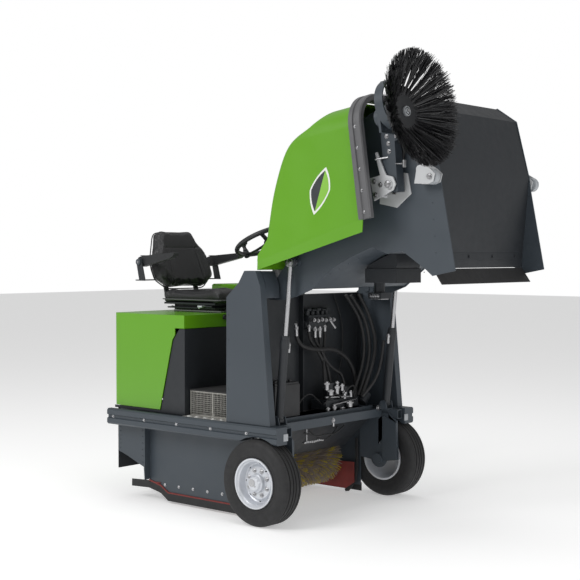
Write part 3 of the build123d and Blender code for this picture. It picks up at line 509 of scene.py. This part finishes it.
def side_brush():
    """Three rings of drilled tufts that flare into a cone."""
    fibres = []
    across = LEVEL_X
    third = SIDE_AXIS.cross(across)
    for ring, (root_r, tip_r, tip_d, tufts, each) in enumerate(
        ((106, 252, 78, 30, 46), (90, 236, 98, 26, 42), (74, 212, 94, 22, 36))
    ):
        for t in range(tufts):
            centre = 2 * pi * (t + 0.5 * (ring % 2)) / tufts
            clump = rng.gauss(0, 0.018)
            for _ in range(each):
                a = centre + rng.gauss(0, 0.028)
                spread = clump + rng.gauss(0, 0.055)
                r0 = root_r + rng.gauss(0, 2.2)
                reach = min(253.5, tip_r + rng.gauss(0, 6))
                depth = tip_d + rng.gauss(0, 7)
                path = []
                for k in range(4):
                    s = k / 3
                    r = r0 + (reach - r0) * (0.8 * s + 0.2 * s * s)
                    d = -9 + (depth + 9) * (0.62 * s + 0.38 * s ** 1.6)
                    b = a + spread * s * s
                    out = across * cos(b) + third * sin(b)
                    path.append((SIDE_HUB + (out * r + SIDE_AXIS * d) * MM, (1.25 - 0.35 * s) * MM))
                fibres.append(path)
    strands("side_brush_fibres", fibres, "black_fibre", "side_brush", slot="black_plastic",
            replaces=["side_brush_bristles"])
    turned("side_brush_nut", [(0, 6), (9, 6), (12, 4), (21, 3.4), (22, 1), (22, -7), (0, -7)], SIDE_HUB,
           SIDE_AXIS,
           "grey_plastic", "side_brush", 48)
    head = Parts()
    head.rod(SIDE_HUB + SIDE_AXIS * 0.005, SIDE_HUB + SIDE_AXIS * 0.011, 0.0085, 6)
    head.finish("side_brush_bolt", "steel", "side_brush", 0.5)
    spokes = Parts()
    for t in range(78):
        a = 2 * pi * t / 78
        r = (104, 90, 76)[t % 3]
        out = across * cos(a) + third * sin(a)
        spokes.rod(SIDE_HUB + (out * r + SIDE_AXIS * -10) * MM,
                   SIDE_HUB + (out * r + SIDE_AXIS * -5.5) * MM, 4 * MM, 12)
    spokes.finish("side_brush_tuft_collars", "black_plastic", "side_brush", 0.5)


side_brush()

# ---------------------------------------------------------------- seat
RECLINE = radians(22)
BACK_FOOT = at(-1066, 0, 1108)
BACK_UP = Vector((-sin(RECLINE), 0, cos(RECLINE)))
BACK_OUT = Vector((cos(RECLINE), 0, sin(RECLINE)))


def bell(t):
    return 1 / (1 + t * t) ** 2


def step(a, b, t):
    t = max(0.0, min(1.0, (t - a) / (b - a)))
    return t * t * (3 - 2 * t)


def baked(o):
    """The object's mesh with its modifiers applied."""
    graph = bpy.context.evaluated_depsgraph_get()
    graph.update()
    return bpy.data.meshes.new_from_object(o.evaluated_get(graph))


def pad(node, body, inset, cap, form, voxel=0.005):
    """An upholstered pad: the CAD solid, swollen by cloth pressure, then given its bolsters and seams."""
    source = frame["nodes"][node]
    mesh = source.data.copy()
    low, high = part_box(node)
    middle = (low + high) / 2
    for v in mesh.vertices:
        for axis in range(3):
            half = (high[axis] - low[axis]) / 2
            v.co[axis] = middle[axis] + (v.co[axis] - middle[axis]) * (half - inset) / half
    o = bpy.data.objects.new(node + "_pad", mesh)
    bpy.context.scene.collection.objects.link(o)
    remesh = o.modifiers.new("remesh", "REMESH")
    remesh.mode = "VOXEL"
    remesh.voxel_size = voxel
    o.data = baked(o)
    o.modifiers.clear()
    for p in o.data.polygons:
        p.use_smooth = True
    smooth = o.modifiers.new("smooth", "SMOOTH")
    smooth.iterations = 6
    o.data = baked(o)
    o.modifiers.clear()
    start = [v.co.copy() for v in o.data.vertices]
    cloth = o.modifiers.new("cloth", "CLOTH")
    cloth.settings.use_pressure = True
    cloth.settings.uniform_pressure_force = 4
    cloth.settings.effector_weights.gravity = 0
    cloth.settings.tension_stiffness = 18
    cloth.settings.bending_stiffness = 2
    scene = bpy.context.scene
    for f in range(1, 21):
        scene.frame_set(f)
    o.data = baked(o)
    o.modifiers.clear()
    scene.frame_set(1)
    for v, rest in zip(o.data.vertices, start):
        move = v.co - rest
        if move.length > cap:
            v.co = rest + move.normalized() * cap
    for v in o.data.vertices:
        v.co = form(v.co.copy())
    o.name = node + "_pad"
    o.data.materials.clear()
    o.data.materials.append(MATERIALS["seat_vinyl"])
    fine = o.modifiers.new("fine", "SUBSURF")
    fine.levels = fine.render_levels = 1
    o.data = baked(o)
    o.modifiers.clear()
    for p in o.data.polygons:
        p.use_smooth = True
    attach(o, body)
    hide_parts(node)
    return o


def back_form(co):
    """Side bolsters, a hollow for the back and two sewn creases."""
    local = co - BACK_FOOT
    u, v, w = (co.y - ORIGIN.y) * 1000, local.dot(BACK_UP) * 1000, local.dot(BACK_OUT) * 1000
    front = step(32, 58, w)
    lower = 1 - step(190, 260, v)
    bolster = 13 * bell((abs(u) - 168) / 32) * lower * step(0, 40, v)
    hollow = -7 * (1 - step(60, 150, abs(u))) * lower
    crease = -5.5 * bell((abs(u) - 122 + 0.05 * v) / 5.5) * lower
    across = -4.0 * bell((v - 212) / 6) * (1 - step(112, 150, abs(u)))
    return co + BACK_OUT * (bolster + hollow + crease + across) * front * MM


def cushion_form(co):
    """Raised sides, a waterfall front edge and sewn channels."""
    x, y, z = (co.x - ORIGIN.x) * 1000, (co.y - ORIGIN.y) * 1000, co.z * 1000
    top = step(1060, 1080, z)
    sides = 11 * bell((abs(y) - 196) / 30) * step(-985, -915, x)
    seams = -4.5 * bell((abs(y) - 150) / 5) * (1 - step(-600, -570, x))
    front = -3.5 * bell((x + 640) / 6) * (1 - step(140, 152, abs(y)))
    pinch = -5 * bell((z - 1056) / 5)
    out = Vector((step(-700, -560, x) - step(-850, -995, x), y / 238, 0))
    return co + Vector((0, 0, (sides + seams + front) * top * MM)) + out * pinch * step(150, 236, abs(y)) * MM


pad("seat_backrest", "seat", 0.005, 0.009, back_form)
pad("seat_cushion", "seat", 0.005, 0.008, cushion_form)


def loop(name, points, radius, look, body, slot=None):
    """A closed smooth bead, such as the piping round a pad."""
    path = tube(name + "_path", points, radius, look, body)
    path.data.splines[0].use_cyclic_u = True
    path.data.splines[0].use_endpoint_u = False
    mesh = baked(path)
    bpy.data.objects.remove(path)
    o = link(name, mesh, look, body, slot)
    for p in mesh.polygons:
        p.use_smooth = True
    return o


def seat_details():
    outline = [(-140, -12), (-212, 42), (-217, 110), (-203, 170), (-129, 328), (129, 328), (203, 170),
               (217, 110),
               (212, 42), (140, -12)]
    places = []
    for (u0, v0), (u1, v1) in zip(outline, outline[1:] + outline[:1]):
        for s in (0.12, 0.5, 0.88):
            u, v = u0 + (u1 - u0) * s, v0 + (v1 - v0) * s
            p = Vector((-1066, 0, 1108)) + (BACK_UP * v * 0.995 + BACK_OUT * 17) + Vector((0, u * 0.995, 0))
            places.append(tuple(p))
    loop("backrest_piping", places, 3.2, "black_rubber", "seat")
    places = []
    for x0, y0, x1, y1 in ((-972, -238, -600, -238), (-572, -238, -549, -215), (-549, -190, -549, 190),
                           (-549, 215, -572, 238), (-600, 238, -972, 238), (-992, 215, -992, -215)):
        for s in (0, 0.5, 1):
            places.append((x0 + (x1 - x0) * s, y0 + (y1 - y0) * s, 1052))
    loop("cushion_piping", places, 3.0, "grey_rubber", "seat")
    shell = Parts()
    for side in (-1, 1):
        hinge = at(-1100, side * 296, 1252)
        shell.rod(hinge, hinge + Vector((0, side * 0.008, 0)), 0.017, 28)
        shell.rod(at(-1100, side * 284.5, 1252), at(-1100, side * 290, 1252), 0.02, 28)
    shell.finish("armrest_pivot_caps", "slate_paint", "seat", 0.8)
    screws = Parts()
    for side in (-1, 1):
        screws.bolt(at(-1100, side * 303, 1252), (0, side, 0), 0.0055, 0.004)
        for x in (-930, -640):
            screws.bolt(at(x, side * 206, 1012), (0, 0, 1), 0.006, 0.004)
    screws.finish("seat_screws", "steel", "seat", 0.3)
    fitting = Parts()
    fitting.block(at(-700, -245, 1013), at(-668, -216, 1023))
    fitting.rod(at(-684, -232, 1016), at(-684, -250, 1012), 0.006, 16)
    fitting.finish("seat_slide_clip", "silver_paint", "seat", 1.2)
    handle = Parts()
    handle.rod(at(-648, -232, 1018), at(-600, -236, 1018), 0.0045, 14)
    handle.rod(at(-648, -236, 1018), at(-648, -205, 1019), 0.0045, 14)
    handle.finish("seat_slide_handle", "black_paint", "seat", 0.8)
    for side in (-1, 1):
        y = side * 265
        arm = Parts()
        arm.block(at(-1104, y - 18, 1286), at(-880, y + 18, 1289))
        arm.finish("left_armrest_seam" if side > 0 else "right_armrest_seam", "black_rubber",
                   "left_rest" if side > 0 else "right_rest", 1.2)


seat_details()

# ---------------------------------------------------------------- steering wheel
TILT = radians(25)
WHEEL_C = at(-410, 0, 1368)
COLUMN = Vector((-sin(TILT), 0, cos(TILT)))
ACROSS = Vector((cos(TILT), 0, sin(TILT)))


def steering():
    rim = [(177 + 12.6 * cos(2 * pi * k / 18), 12.6 * sin(2 * pi * k / 18)) for k in range(18)]
    turned("steering_rim", rim, WHEEL_C, COLUMN, "black_plastic", "wheel_rim", 128,
           replaces=["steering_wheel"])
    turned("steering_hub", [(0, 5), (20, 4.5), (27, 2), (30, -4), (31, -24), (27, -36), (13, -38),
                            (12, -46), (12, -129),
                            (0, -129)], WHEEL_C, COLUMN, "black_plastic", "wheel_rim", 64)
    spokes = bmesh.new()
    for k in range(3):
        turn = Matrix.Rotation(2 * pi * k / 3, 3, COLUMN)
        out = turn @ -ACROSS
        wide = turn @ Vector((0, 1, 0))
        rings = []
        for r, half, drop in ((20, 17, -9), (50, 14, -11), (100, 11.5, -10), (140, 11, -7), (168, 12.5, -3)):
            ring = []
            for j in range(12):
                a = 2 * pi * j / 12
                flat = half * (1 if cos(a) >= 0 else -1) * abs(cos(a)) ** 0.6
                thick = 5.0 * (1 if sin(a) >= 0 else -1) * abs(sin(a)) ** 0.8
                offset = out * r + wide * flat + COLUMN * (drop + thick)
                ring.append(spokes.verts.new(WHEEL_C + offset * MM))
            rings.append(ring)
        for here, there in zip(rings, rings[1:]):
            for j in range(12):
                n = (j + 1) % 12
                spokes.faces.new((here[j], here[n], there[n], there[j]))
        spokes.faces.new(rings[0])
        spokes.faces.new(list(reversed(rings[-1])))
    bmesh.ops.recalc_face_normals(spokes, faces=spokes.faces)
    mesh = bpy.data.meshes.new("steering_spokes")
    spokes.to_mesh(mesh)
    spokes.free()
    soften(link("steering_spokes", mesh, "black_plastic", "wheel_rim"), 0)
    knob = WHEEL_C - ACROSS * 0.177
    turned("spinner_clamp", [(0, 19.5), (13, 19.5), (15.5, 17), (16, -14), (12, -17), (0, -17)], knob, COLUMN,
           "black_paint", "wheel_rim", 32)
    turned("spinner_grip", [(0, 20.5), (12, 20.6), (14, 23), (12, 28), (9.5, 36), (10, 45), (15, 53),
                            (22, 57),
                            (24, 62), (23.6, 70), (20, 76), (12, 78.4), (0, 79)], knob, COLUMN,
                            "black_plastic",
           "spinner", 48, replaces=["spinner_knob"])
    turned("column_boot", [(12.5, -44), (20, -46), (26, -56), (24, -60), (30, -68), (28, -72), (34, -80),
                           (37, -88),
                           (37, -96), (12.5, -96)], WHEEL_C, COLUMN, "black_rubber", "chassis", 48)


steering()


# ---------------------------------------------------------------- guards and step plate
def mesh_guard(side):
    """Welded wire in a rim: a fine square mesh that the engine draws air through."""
    y = side * 468
    wires = Parts()
    for k in range(32):
        x = -524 + 10 * k
        wires.rod(at(x, y, 484), at(x, y, 602), 0.0011, 6)
    for k in range(12):
        z = 488 + 10 * k
        wires.rod(at(-525, y - side * 1.6, z), at(-213, y - side * 1.6, z), 0.0011, 6)
    word = "left" if side > 0 else "right"
    wires.finish(f"{word}_guard_mesh", "zinc_mesh", "chassis", 0, replaces=["mesh_guards"])
    rim = Parts()
    for z in (483, 603.5):
        rim.rod(at(-525, y, z), at(-213, y, z), 0.0028, 12)
    for x in (-525, -369, -213):
        rim.rod(at(x, y - side * 3, 482), at(x, y - side * 3, 604), 0.0028, 12)
    rim.finish(f"{word}_guard_rim", "zinc_mesh", "chassis", 0)


for side in SIDES.values():
    mesh_guard(side)


def chequer():
    """Raised lozenges on the aluminium step plate."""
    studs = bmesh.new()
    for i in range(11):
        for j in range(35):
            x, y = -520 + 28.5 * i, -510 + 30 * j
            angle = radians(45 if (i + j) % 2 else -45)
            along = Vector((cos(angle), sin(angle), 0))
            side = Vector((-sin(angle), cos(angle), 0))
            base = at(x, y, 479.4)
            corners = [base + (along * a + side * b) * MM for a, b in ((-13, 0), (0, -3), (13, 0), (0, 3))]
            low = [studs.verts.new(c) for c in corners]
            high = [studs.verts.new(base + (c - base) * 0.72 + Vector((0, 0, 0.0017))) for c in corners]
            studs.faces.new(high)
            studs.faces.new(list(reversed(low)))
            for k in range(4):
                studs.faces.new((low[k], low[(k + 1) % 4], high[(k + 1) % 4], high[k]))
    mesh = bpy.data.meshes.new("step_plate_studs")
    studs.to_mesh(mesh)
    studs.free()
    link("step_plate_studs", mesh, "tread", "chassis", "zinc_mesh")
    dressed("tread_plate", "tread", 0.8)


chequer()


# ---------------------------------------------------------------- skirts, rails and wheel brackets
def side_details(word, side):
    bolts = Parts()
    for k in range(5):
        bolts.bolt(at(-749 + 103.5 * k, side * 435, 92 + k), (0, side, 0), 0.0058, 0.004)
    for k in range(5):
        bolts.bolt(at(-1030 + 240 * k, side * 543, 437.5), (0, side, 0), 0.006, 0.0045)
    for x, z in ((-110, 300), (-95, 410), (-80, 240), (100, 320)):
        bolts.bolt(at(x, side * 427, z), (0, side, 0), 0.009, 0.007)
    bolts.finish(f"{word}_side_bolts", "steel", "chassis", 0.4)
    rivets = Parts()
    for k in range(6):
        rivets.ball(at(-1052, side * 474, 262 + 22 * k), 0.0035, 12)
        rivets.ball(at(-878, side * 474, 200 + 34 * k), 0.0035, 12)
    for z in (640, 760, 880, 1000):
        rivets.ball(at(-196, side * 533, z), 0.003, 12)
    rivets.finish(f"{word}_rivets", "slate_paint", "chassis", 0)
    trim = Parts()
    trim.block(at(-865, side * 438 - 3, 96), at(-780, side * 438 + 3, 100))
    trim.rod(at(-866, side * 438, 105), at(-778, side * 438, 86), 0.0045, 10)
    trim.rod(at(-778, side * 438, 86), at(-722, side * 438, 54), 0.0045, 10)
    trim.rod(at(-722, side * 438, 54), at(-131, side * 438, 54), 0.0045, 10)
    trim.finish(f"{word}_lip_strip", "red_rubber", "chassis", 0.5)
    plug = Parts()
    plug.block(at(129, side * 486 - 16, 413), at(132.5, side * 486 + 16, 447))
    plug.finish(f"{word}_rail_plug", "grey_plastic", "chassis", 1.5)


for word, side in SIDES.items():
    side_details(word, side)


# ---------------------------------------------------------------- hydraulics
def fitting(parts, start, end, radius):
    """A hose end: a crimped sleeve and a hexagon nut."""
    start, end = at(*start), at(*end)
    along = end - start
    parts.rod(start, start + along * 0.62, radius, 20)
    parts.rod(start + along * 0.2, start + along * 0.26, radius * 1.12, 20)
    parts.rod(start + along * 0.42, start + along * 0.48, radius * 1.12, 20)
    parts.rod(start + along * 0.62, start + along * 0.86, radius * 1.25, 6)
    parts.rod(start + along * 0.86, end, radius * 0.8, 20)


def hydraulics():
    silver = Parts()
    for y in (66, 105):
        fitting(silver, (-150, y, 862), (-150, y, 918), 0.0095)
    for y, z in ((18, 930), (147, 925)):
        fitting(silver, (-150, y, z - 34), (-150, y, z), 0.008)
    silver.rod(at(-165, -63, 945), at(-140, -98, 935), 0.008, 20)
    fitting(silver, (-140, -92, 878), (-140, -98, 935), 0.0095)
    for k, y in enumerate((30, 62, 94, 126, 158, 190)):
        silver.rod(at(-152, y, 955 - 4 * (k % 2)), at(-122, y, 955 - 4 * (k % 2)), 0.011, 6)
        silver.rod(at(-124, y, 955 - 4 * (k % 2)), at(-116, y, 955 - 4 * (k % 2)), 0.007, 16)
    silver.rod(at(-140, 178, 948), at(-118, 196, 905), 0.008, 16)
    for x, y, z, tall, r in ((-60, 51, 619, 44, 13), (-60, 82, 583, 30, 16), (-60, 135, 592, 52, 12),
                             (-60, 178, 602, 36, 10), (-52, 232, 510, 30, 17), (-60, 178, 488, 22, 14),
                             (-52, 310, 476, 16, 15), (-60, 61, 492, 30, 10), (-55, 109, 492, 46, 9),
                             (-70, 150, 620, 30, 9), (-66, 205, 560, 40, 11), (-70, 265, 560, 34, 9)):
        fitting(silver, (x, y, z - tall / 2), (x, y, z + tall / 2), r * MM)
    silver.rod(at(-60, 40, 560), at(-60, 240, 548), 0.006, 16)
    silver.rod(at(-58, 100, 515), at(-58, 300, 530), 0.005, 16)
    silver.bolt(at(15, 11, 452), (1, 0, 0), 0.009, 0.007)
    silver.rod(at(17, 11, 421), at(17, 11, 440), 0.006, 16)
    silver.bolt(at(15, 391, 480), (1, 0, 0), 0.011, 0.008)
    silver.finish("hydraulic_fittings", "steel", "chassis", 0.4)
    dark = Parts()
    dark.block(at(-200, 20, 905), at(-152, 200, 978))
    for k, y in enumerate((35, 75, 115, 155, 190)):
        dark.rod(at(-176, y, 976), at(-176, y, 1004 - 6 * (k % 2)), 0.013, 24)
        dark.block(at(-196, y - 15, 1000), at(-160, y + 15, 1012 - 4 * (k % 2)))
    dark.rod(at(-176, 5, 930), at(-176, 22, 930), 0.018, 24)
    dark.block(at(-170, 60, 491), at(-70, 330, 540))
    dark.rod(at(-100, 120, 540), at(-100, 120, 628), 0.03, 32)
    dark.rod(at(-110, 240, 540), at(-110, 240, 600), 0.036, 32)
    dark.rod(at(-70, 360, 505), at(-70, 410, 545), 0.024, 24)
    dark.finish("hydraulic_blocks", "black_paint", "chassis", 1.2, replaces=["hydraulic_valves"])
    chain = Parts()
    for k in range(11):
        y = -138 + 14 * k
        chain.rod(at(-57, y, 347 + 2 * sin(k)), at(-43, y, 348 + 2 * sin(k)), 0.0055, 12)
        chain.block(at(-52, y - 4, 343), at(-48, y + 9, 352))
    chain.rod(at(-50, -120, 352), at(-50, -120, 414), 0.004, 12)
    chain.finish("linkage_under_crossbar", "steel", "chassis", 0.3)


HOSES = {
    "valve_hose_1": (8, [(-150, 18, 896), (-150, 18, 860), (-140, 64, 806), (-134, 112, 743),
                         (-130, 127, 675),
                         (-126, 133, 600)]),
    "valve_hose_2": (8, [(-150, 66, 862), (-146, 72, 838), (-134, 96, 798), (-128, 138, 728),
                         (-122, 202, 683),
                         (-118, 257, 660), (-112, 262, 600)]),
    "valve_hose_3": (8, [(-150, 105, 862), (-148, 106, 820), (-142, 122, 770), (-136, 146, 720),
                         (-124, 152, 660),
                         (-112, 150, 610)]),
    "valve_hose_4": (8, [(-150, 147, 891), (-148, 144, 836), (-138, 120, 777), (-122, 104, 704),
                         (-112, 100, 626)]),
    "return_hose": (10.5, [(-140, -92, 878), (-138, -84, 846), (-124, -40, 814), (-112, 60, 800),
                           (-112, 150, 802),
                           (-114, 235, 776), (-118, 311, 730), (-122, 360, 664), (-124, 378, 600),
                           (-120, 372, 520)]),
    "lift_hose_1": (9.5, [(-70, 332, 545), (-66, 376, 627), (-62, 414, 728), (-62, 421, 824), (-80, 414, 922),
                          (-104, 396, 992), (-122, 332, 1076)]),
    "lift_hose_2": (9.5, [(-46, 330, 545), (-40, 378, 634), (-34, 418, 730), (-34, 438, 825), (-60, 436, 922),
                          (-86, 424, 1000), (-112, 390, 1080)]),
    "lift_hose_3": (8.5, [(-90, 300, 545), (-84, 352, 630), (-84, 394, 728), (-84, 402, 824), (-98, 392, 922),
                          (-116, 368, 992), (-132, 300, 1078)]),
    "cylinder_hose": (8, [(-20, 300, 545), (0, 356, 600), (10, 400, 660), (28, 405, 740), (40, 402, 800),
                          (46, 400, 838)]),
    "sensor_cable": (2.6, [(-190, 269, 1084), (-190, 297, 1031), (-188, 335, 947), (-188, 347, 864),
                           (-184, 336, 740),
                           (-176, 297, 666), (-160, 254, 607)]),
    "ground_cable": (3, [(-100, -150, 500), (-90, -120, 560), (-80, -60, 590), (-90, 0, 560),
                         (-100, 60, 520)]),
    "loop_cable_1": (3, [(-70, 40, 520), (-50, 60, 560), (-44, 110, 576), (-48, 160, 556), (-60, 190, 520)]),
    "loop_cable_2": (4, [(-64, 190, 560), (-46, 220, 600), (-46, 262, 610), (-60, 290, 570),
                         (-70, 296, 530)]),
    "low_cable_1": (4, [(-40, -150, 400), (-20, -80, 372), (-24, 0, 380), (-30, 90, 366), (-40, 170, 404)]),
    "low_cable_2": (3, [(-60, -100, 410), (-40, -40, 352), (-40, 60, 350), (-60, 140, 400)]),
}

hydraulics()
for name, (radius, points) in HOSES.items():
    tube(name, points, radius, "black_rubber", "chassis", replaces=["hydraulic_hoses"])


def cylinder_details(word, side):
    base, top = Vector((39, 0, 500)), Vector((114, 0, 1257))
    axis = (top - base).normalized()
    y = side * 430
    gland = base + axis * 406
    place = at(gland.x, y, gland.z)
    turned(f"{word}_gland", [(11.3, 2), (15, 2), (18, 0), (21.6, -4), (21.6, -22), (11.3, -22)], place, axis,
           "black_paint", f"{word}_barrel", 48)
    port = base + axis * 366
    fit = Parts()
    inner = y - side * 24
    fit.rod(at(port.x, y - side * 14, port.z), at(port.x, inner - side * 8, port.z), 0.008, 20)
    fitting(fit, (port.x - 2, inner - side * 6, port.z - 40), (port.x, inner - side * 6, port.z + 10), 0.0085)
    fit.finish(f"{word}_cylinder_port", "steel", f"{word}_barrel", 0.4)


for word, side in SIDES.items():
    cylinder_details(word, side)


# ---------------------------------------------------------------- hood trim and decal
def decal():
    """A leaf-shaped plate with a pale border and a dark and a light half, without lettering."""
    corners = [Vector((308, 0, 1587)), Vector((403, 0, 1687)), Vector((426, 0, 1583)), Vector((332, 0, 1473))]
    y = -521.0
    centre = sum(corners, Vector()) / 4

    def outline(scale, bow):
        points = []
        for k, corner in enumerate(corners):
            here, there = corner, corners[(k + 1) % 4]
            normal = Vector((there - here)).cross(Vector((0, 1, 0))).normalized()
            if normal.dot((here + there) / 2 - centre) < 0:
                normal = -normal
            for s in range(10):
                t = s / 10
                p = here.lerp(there, t) + normal * bow * 4 * t * (1 - t)
                points.append(centre + (p - centre) * scale)
        return points

    def sheet(name, points, depth, look):
        bm = bmesh.new()
        front = [bm.verts.new(at(p.x, y - depth, p.z)) for p in points]
        back = [bm.verts.new(at(p.x, y + 0.4, p.z)) for p in points]
        bm.faces.new(front)
        bm.faces.new(list(reversed(back)))
        for k in range(len(points)):
            n = (k + 1) % len(points)
            bm.faces.new((front[k], back[k], back[n], front[n]))
        bmesh.ops.recalc_face_normals(bm, faces=bm.faces)
        mesh = bpy.data.meshes.new(name)
        bm.to_mesh(mesh)
        bm.free()
        link(name, mesh, look, "hopper", "green_plastic")

    rim = outline(1.0, 9)
    inner = outline(0.86, 9)
    sheet("decal_border", rim, 0.5, "white_print")
    half = len(inner) // 4
    dark_side = inner[-half:] + inner[:half + 1]
    sheet("decal_dark_half", dark_side, 0.9, "dark_print")
    sheet("decal_light_half", inner[half:-half + 1], 0.9, "light_green_print")


decal()


def bumper_bolts():
    heads = Parts()
    start = Vector((641.6, 0, 1449))
    for side in (-1, 1):
        for k in range(5):
            p = start + LEVEL_X * (30 + 95 * k)
            heads.bolt(at(p.x, side * (536.5 + 7), p.z), (0, side, 0), 0.0055, 0.004)
    heads.finish("bumper_bolts", "steel", "hopper", 0.3)


bumper_bolts()


# ---------------------------------------------------------------- side brush arm, casting and rollers
def brush_arm_details():
    bolts = Parts()
    for x, z in ((640, 1556), (632, 1616), (668, 1600), (720, 1588)):
        bolts.bolt(at(x, -466, z), (0, -1, 0), 0.008, 0.006)
    bolts.bolt(at(713, -474, 1601), (0, -1, 0), 0.012, 0.008)
    bolts.finish("casting_bolts", "steel", "hopper", 0.4)
    pins = Parts()
    pins.rod(at(700, -452, 1720), at(640, -470, 1712), 0.0045, 14)
    for x, z in ((700, 1780), (742, 1812), (690, 1812), (704, 1745)):
        pins.bolt(at(x, -452, z), (0, -1, 0), 0.0075, 0.006)
    pins.rod(at(735, -448, 1690), at(790, -452, 1688), 0.004, 12)
    pins.rod(at(786, -452, 1672), at(786, -452, 1704), 0.009, 18)
    pins.finish("arm_fittings", "steel", "side_arm", 0.4)
    tube("brush_motor_hose_1", [(760, -430, 1830), (730, -405, 1800), (716, -398, 1720), (700, -396, 1640),
                                (690, -396, 1560)], 7, "black_rubber", "side_arm")
    tube("brush_motor_hose_2", [(772, -450, 1822), (750, -396, 1790), (738, -394, 1720), (726, -394, 1650),
                                (716, -394, 1580)], 7, "black_rubber", "side_arm")


brush_arm_details()


def roller_bolts():
    ends = Parts()
    for side in (-1, 1):
        ends.bolt(at(912, side * 446, 1628), (0, side, 0), 0.009, 0.006)
    ends.finish("roller_bolts", "steel", "hopper", 0.4)


roller_bolts()


# ---------------------------------------------------------------- hopper details
def hopper_details():
    rivets = Parts()
    for side in (-1, 1):
        for k in range(7):
            rivets.ball(at(150 + 55 * k, side * 383, 1130 + 24 * k), 0.003, 12)
        for k in range(8):
            rivets.ball(at(905 - 6 * k, side * 383, 1300 + 72 * k), 0.003, 12)
    rivets.finish("hopper_rivets", "slate_paint", "hopper", 0)
    heads = Parts()
    for y in (-300, -100, 100, 300):
        heads.bolt(at(893, y, 1284), (1, 0, 0.1), 0.006, 0.004)
    heads.finish("flap_bolts", "black_paint", "hopper", 0.4)
    strap = Parts()
    strap.rod(at(330, -20, 1150), at(330, -20, 1172), 0.012, 20)
    strap.rod(at(300, -20, 1092), at(270, -20, 1092), 0.008, 20)
    strap.block(at(300, -50, 1074), at(362, 12, 1080))
    for k in range(4):
        strap.bolt(at(310 + 14 * k, -62, 1093), (0, -1, 0), 0.006, 0.005)
    strap.finish("fan_valve_parts", "steel", "hopper", 0.5)


hopper_details()


# ---------------------------------------------------------------- engine cover details
def cover_details():
    vents = Parts()
    for k in range(9):
        z = 640 + 24 * k
        vents.block(at(-1073, -210, z), at(-1069.5, 210, z + 10))
    vents.finish("rear_louvres", "black_plastic", "cover", 1.2)
    gaiter = Parts()
    gaiter.rod(at(-640, 330, 1125), at(-640, 330, 1131), 0.03, 32)
    gaiter.rod(at(-640, 330, 1130), at(-640, 330, 1150), 0.024, 32, 0.009)
    gaiter.finish("lever_gaiter", "black_rubber", "cover", 1.0)


cover_details()

# ---------------------------------------------------------------- stage, light and camera
def stage():
    bm = bmesh.new()
    bmesh.ops.create_grid(bm, x_segments=1, y_segments=1, size=30)
    mesh = bpy.data.meshes.new("floor")
    bm.to_mesh(mesh)
    bm.free()
    floor = bpy.data.objects.new("floor", mesh)
    bpy.context.scene.collection.objects.link(floor)
    floor.location = (0, 0, -0.0005)
    m = bpy.data.materials.new("floor")
    m.use_nodes = True
    m.node_tree.nodes["Principled BSDF"].inputs["Base Color"].default_value = (0.9, 0.9, 0.9, 1)
    m.node_tree.nodes["Principled BSDF"].inputs["Roughness"].default_value = 0.85
    m.node_tree.nodes["Principled BSDF"].inputs["Emission Color"].default_value = (1, 1, 1, 1)
    m.node_tree.nodes["Principled BSDF"].inputs["Emission Strength"].default_value = 0.35
    mesh.materials.append(m)

    def lamp(name, place, aim, size, power):
        light = bpy.data.lights.new(name, "AREA")
        light.shape = "RECTANGLE"
        light.size, light.size_y = size
        light.energy = power
        o = bpy.data.objects.new(name, light)
        bpy.context.scene.collection.objects.link(o)
        o.location = place
        o.rotation_euler = (Vector(aim) - Vector(place)).to_track_quat("-Z", "Y").to_euler()

    lamp("key", (-1.5, -6.0, 5.0), (0, 0, 0.9), (3.5, 3.5), 225)
    lamp("front_fill", (6.0, -1.5, 2.6), (0.2, 0, 0.9), (3.5, 3.0), 75)
    lamp("top", (0.0, 0.0, 6.0), (0, 0, 0), (4.0, 4.0), 75)
    world = bpy.data.worlds.new("studio")
    bpy.context.scene.world = world
    world.use_nodes = True
    background = world.node_tree.nodes["Background"]
    background.inputs["Color"].default_value = (1, 1, 1, 1)
    rays = world.node_tree.nodes.new("ShaderNodeLightPath")
    strength = world.node_tree.nodes.new("ShaderNodeMapRange")
    strength.inputs["To Min"].default_value = 0.36
    strength.inputs["To Max"].default_value = 1.0
    world.node_tree.links.new(rays.outputs["Is Camera Ray"], strength.inputs["Value"])
    world.node_tree.links.new(strength.outputs["Result"], background.inputs["Strength"])
    bpy.context.scene.view_settings.view_transform = "Standard"
    bpy.context.scene.view_settings.look = "None"


CAMERA_PLACE = ORIGIN + Vector((3.9165, -4.8258, 1.2907))
CAMERA_DIP, CAMERA_HEADING = 1.636, 40.9  # degrees below level, and about the vertical


def camera():
    data = bpy.data.cameras.new("camera")
    data.lens, data.sensor_width = 76.2, 36
    data.clip_end = 200
    o = bpy.data.objects.new("camera", data)
    bpy.context.scene.collection.objects.link(o)
    o.location = CAMERA_PLACE
    o.rotation_euler = (radians(90 - CAMERA_DIP), 0, radians(CAMERA_HEADING))
    bpy.context.scene.camera = o


stage()
camera()


# ---------------------------------------------------------------- the nodes left as they come
def finish_nodes():
    """Every CAD node that still shows gets its material."""
    for name, o in frame["nodes"].items():
        o.data.materials.clear()
        o.data.materials.append(MATERIALS[SLOT_OF[name]])


finish_nodes()
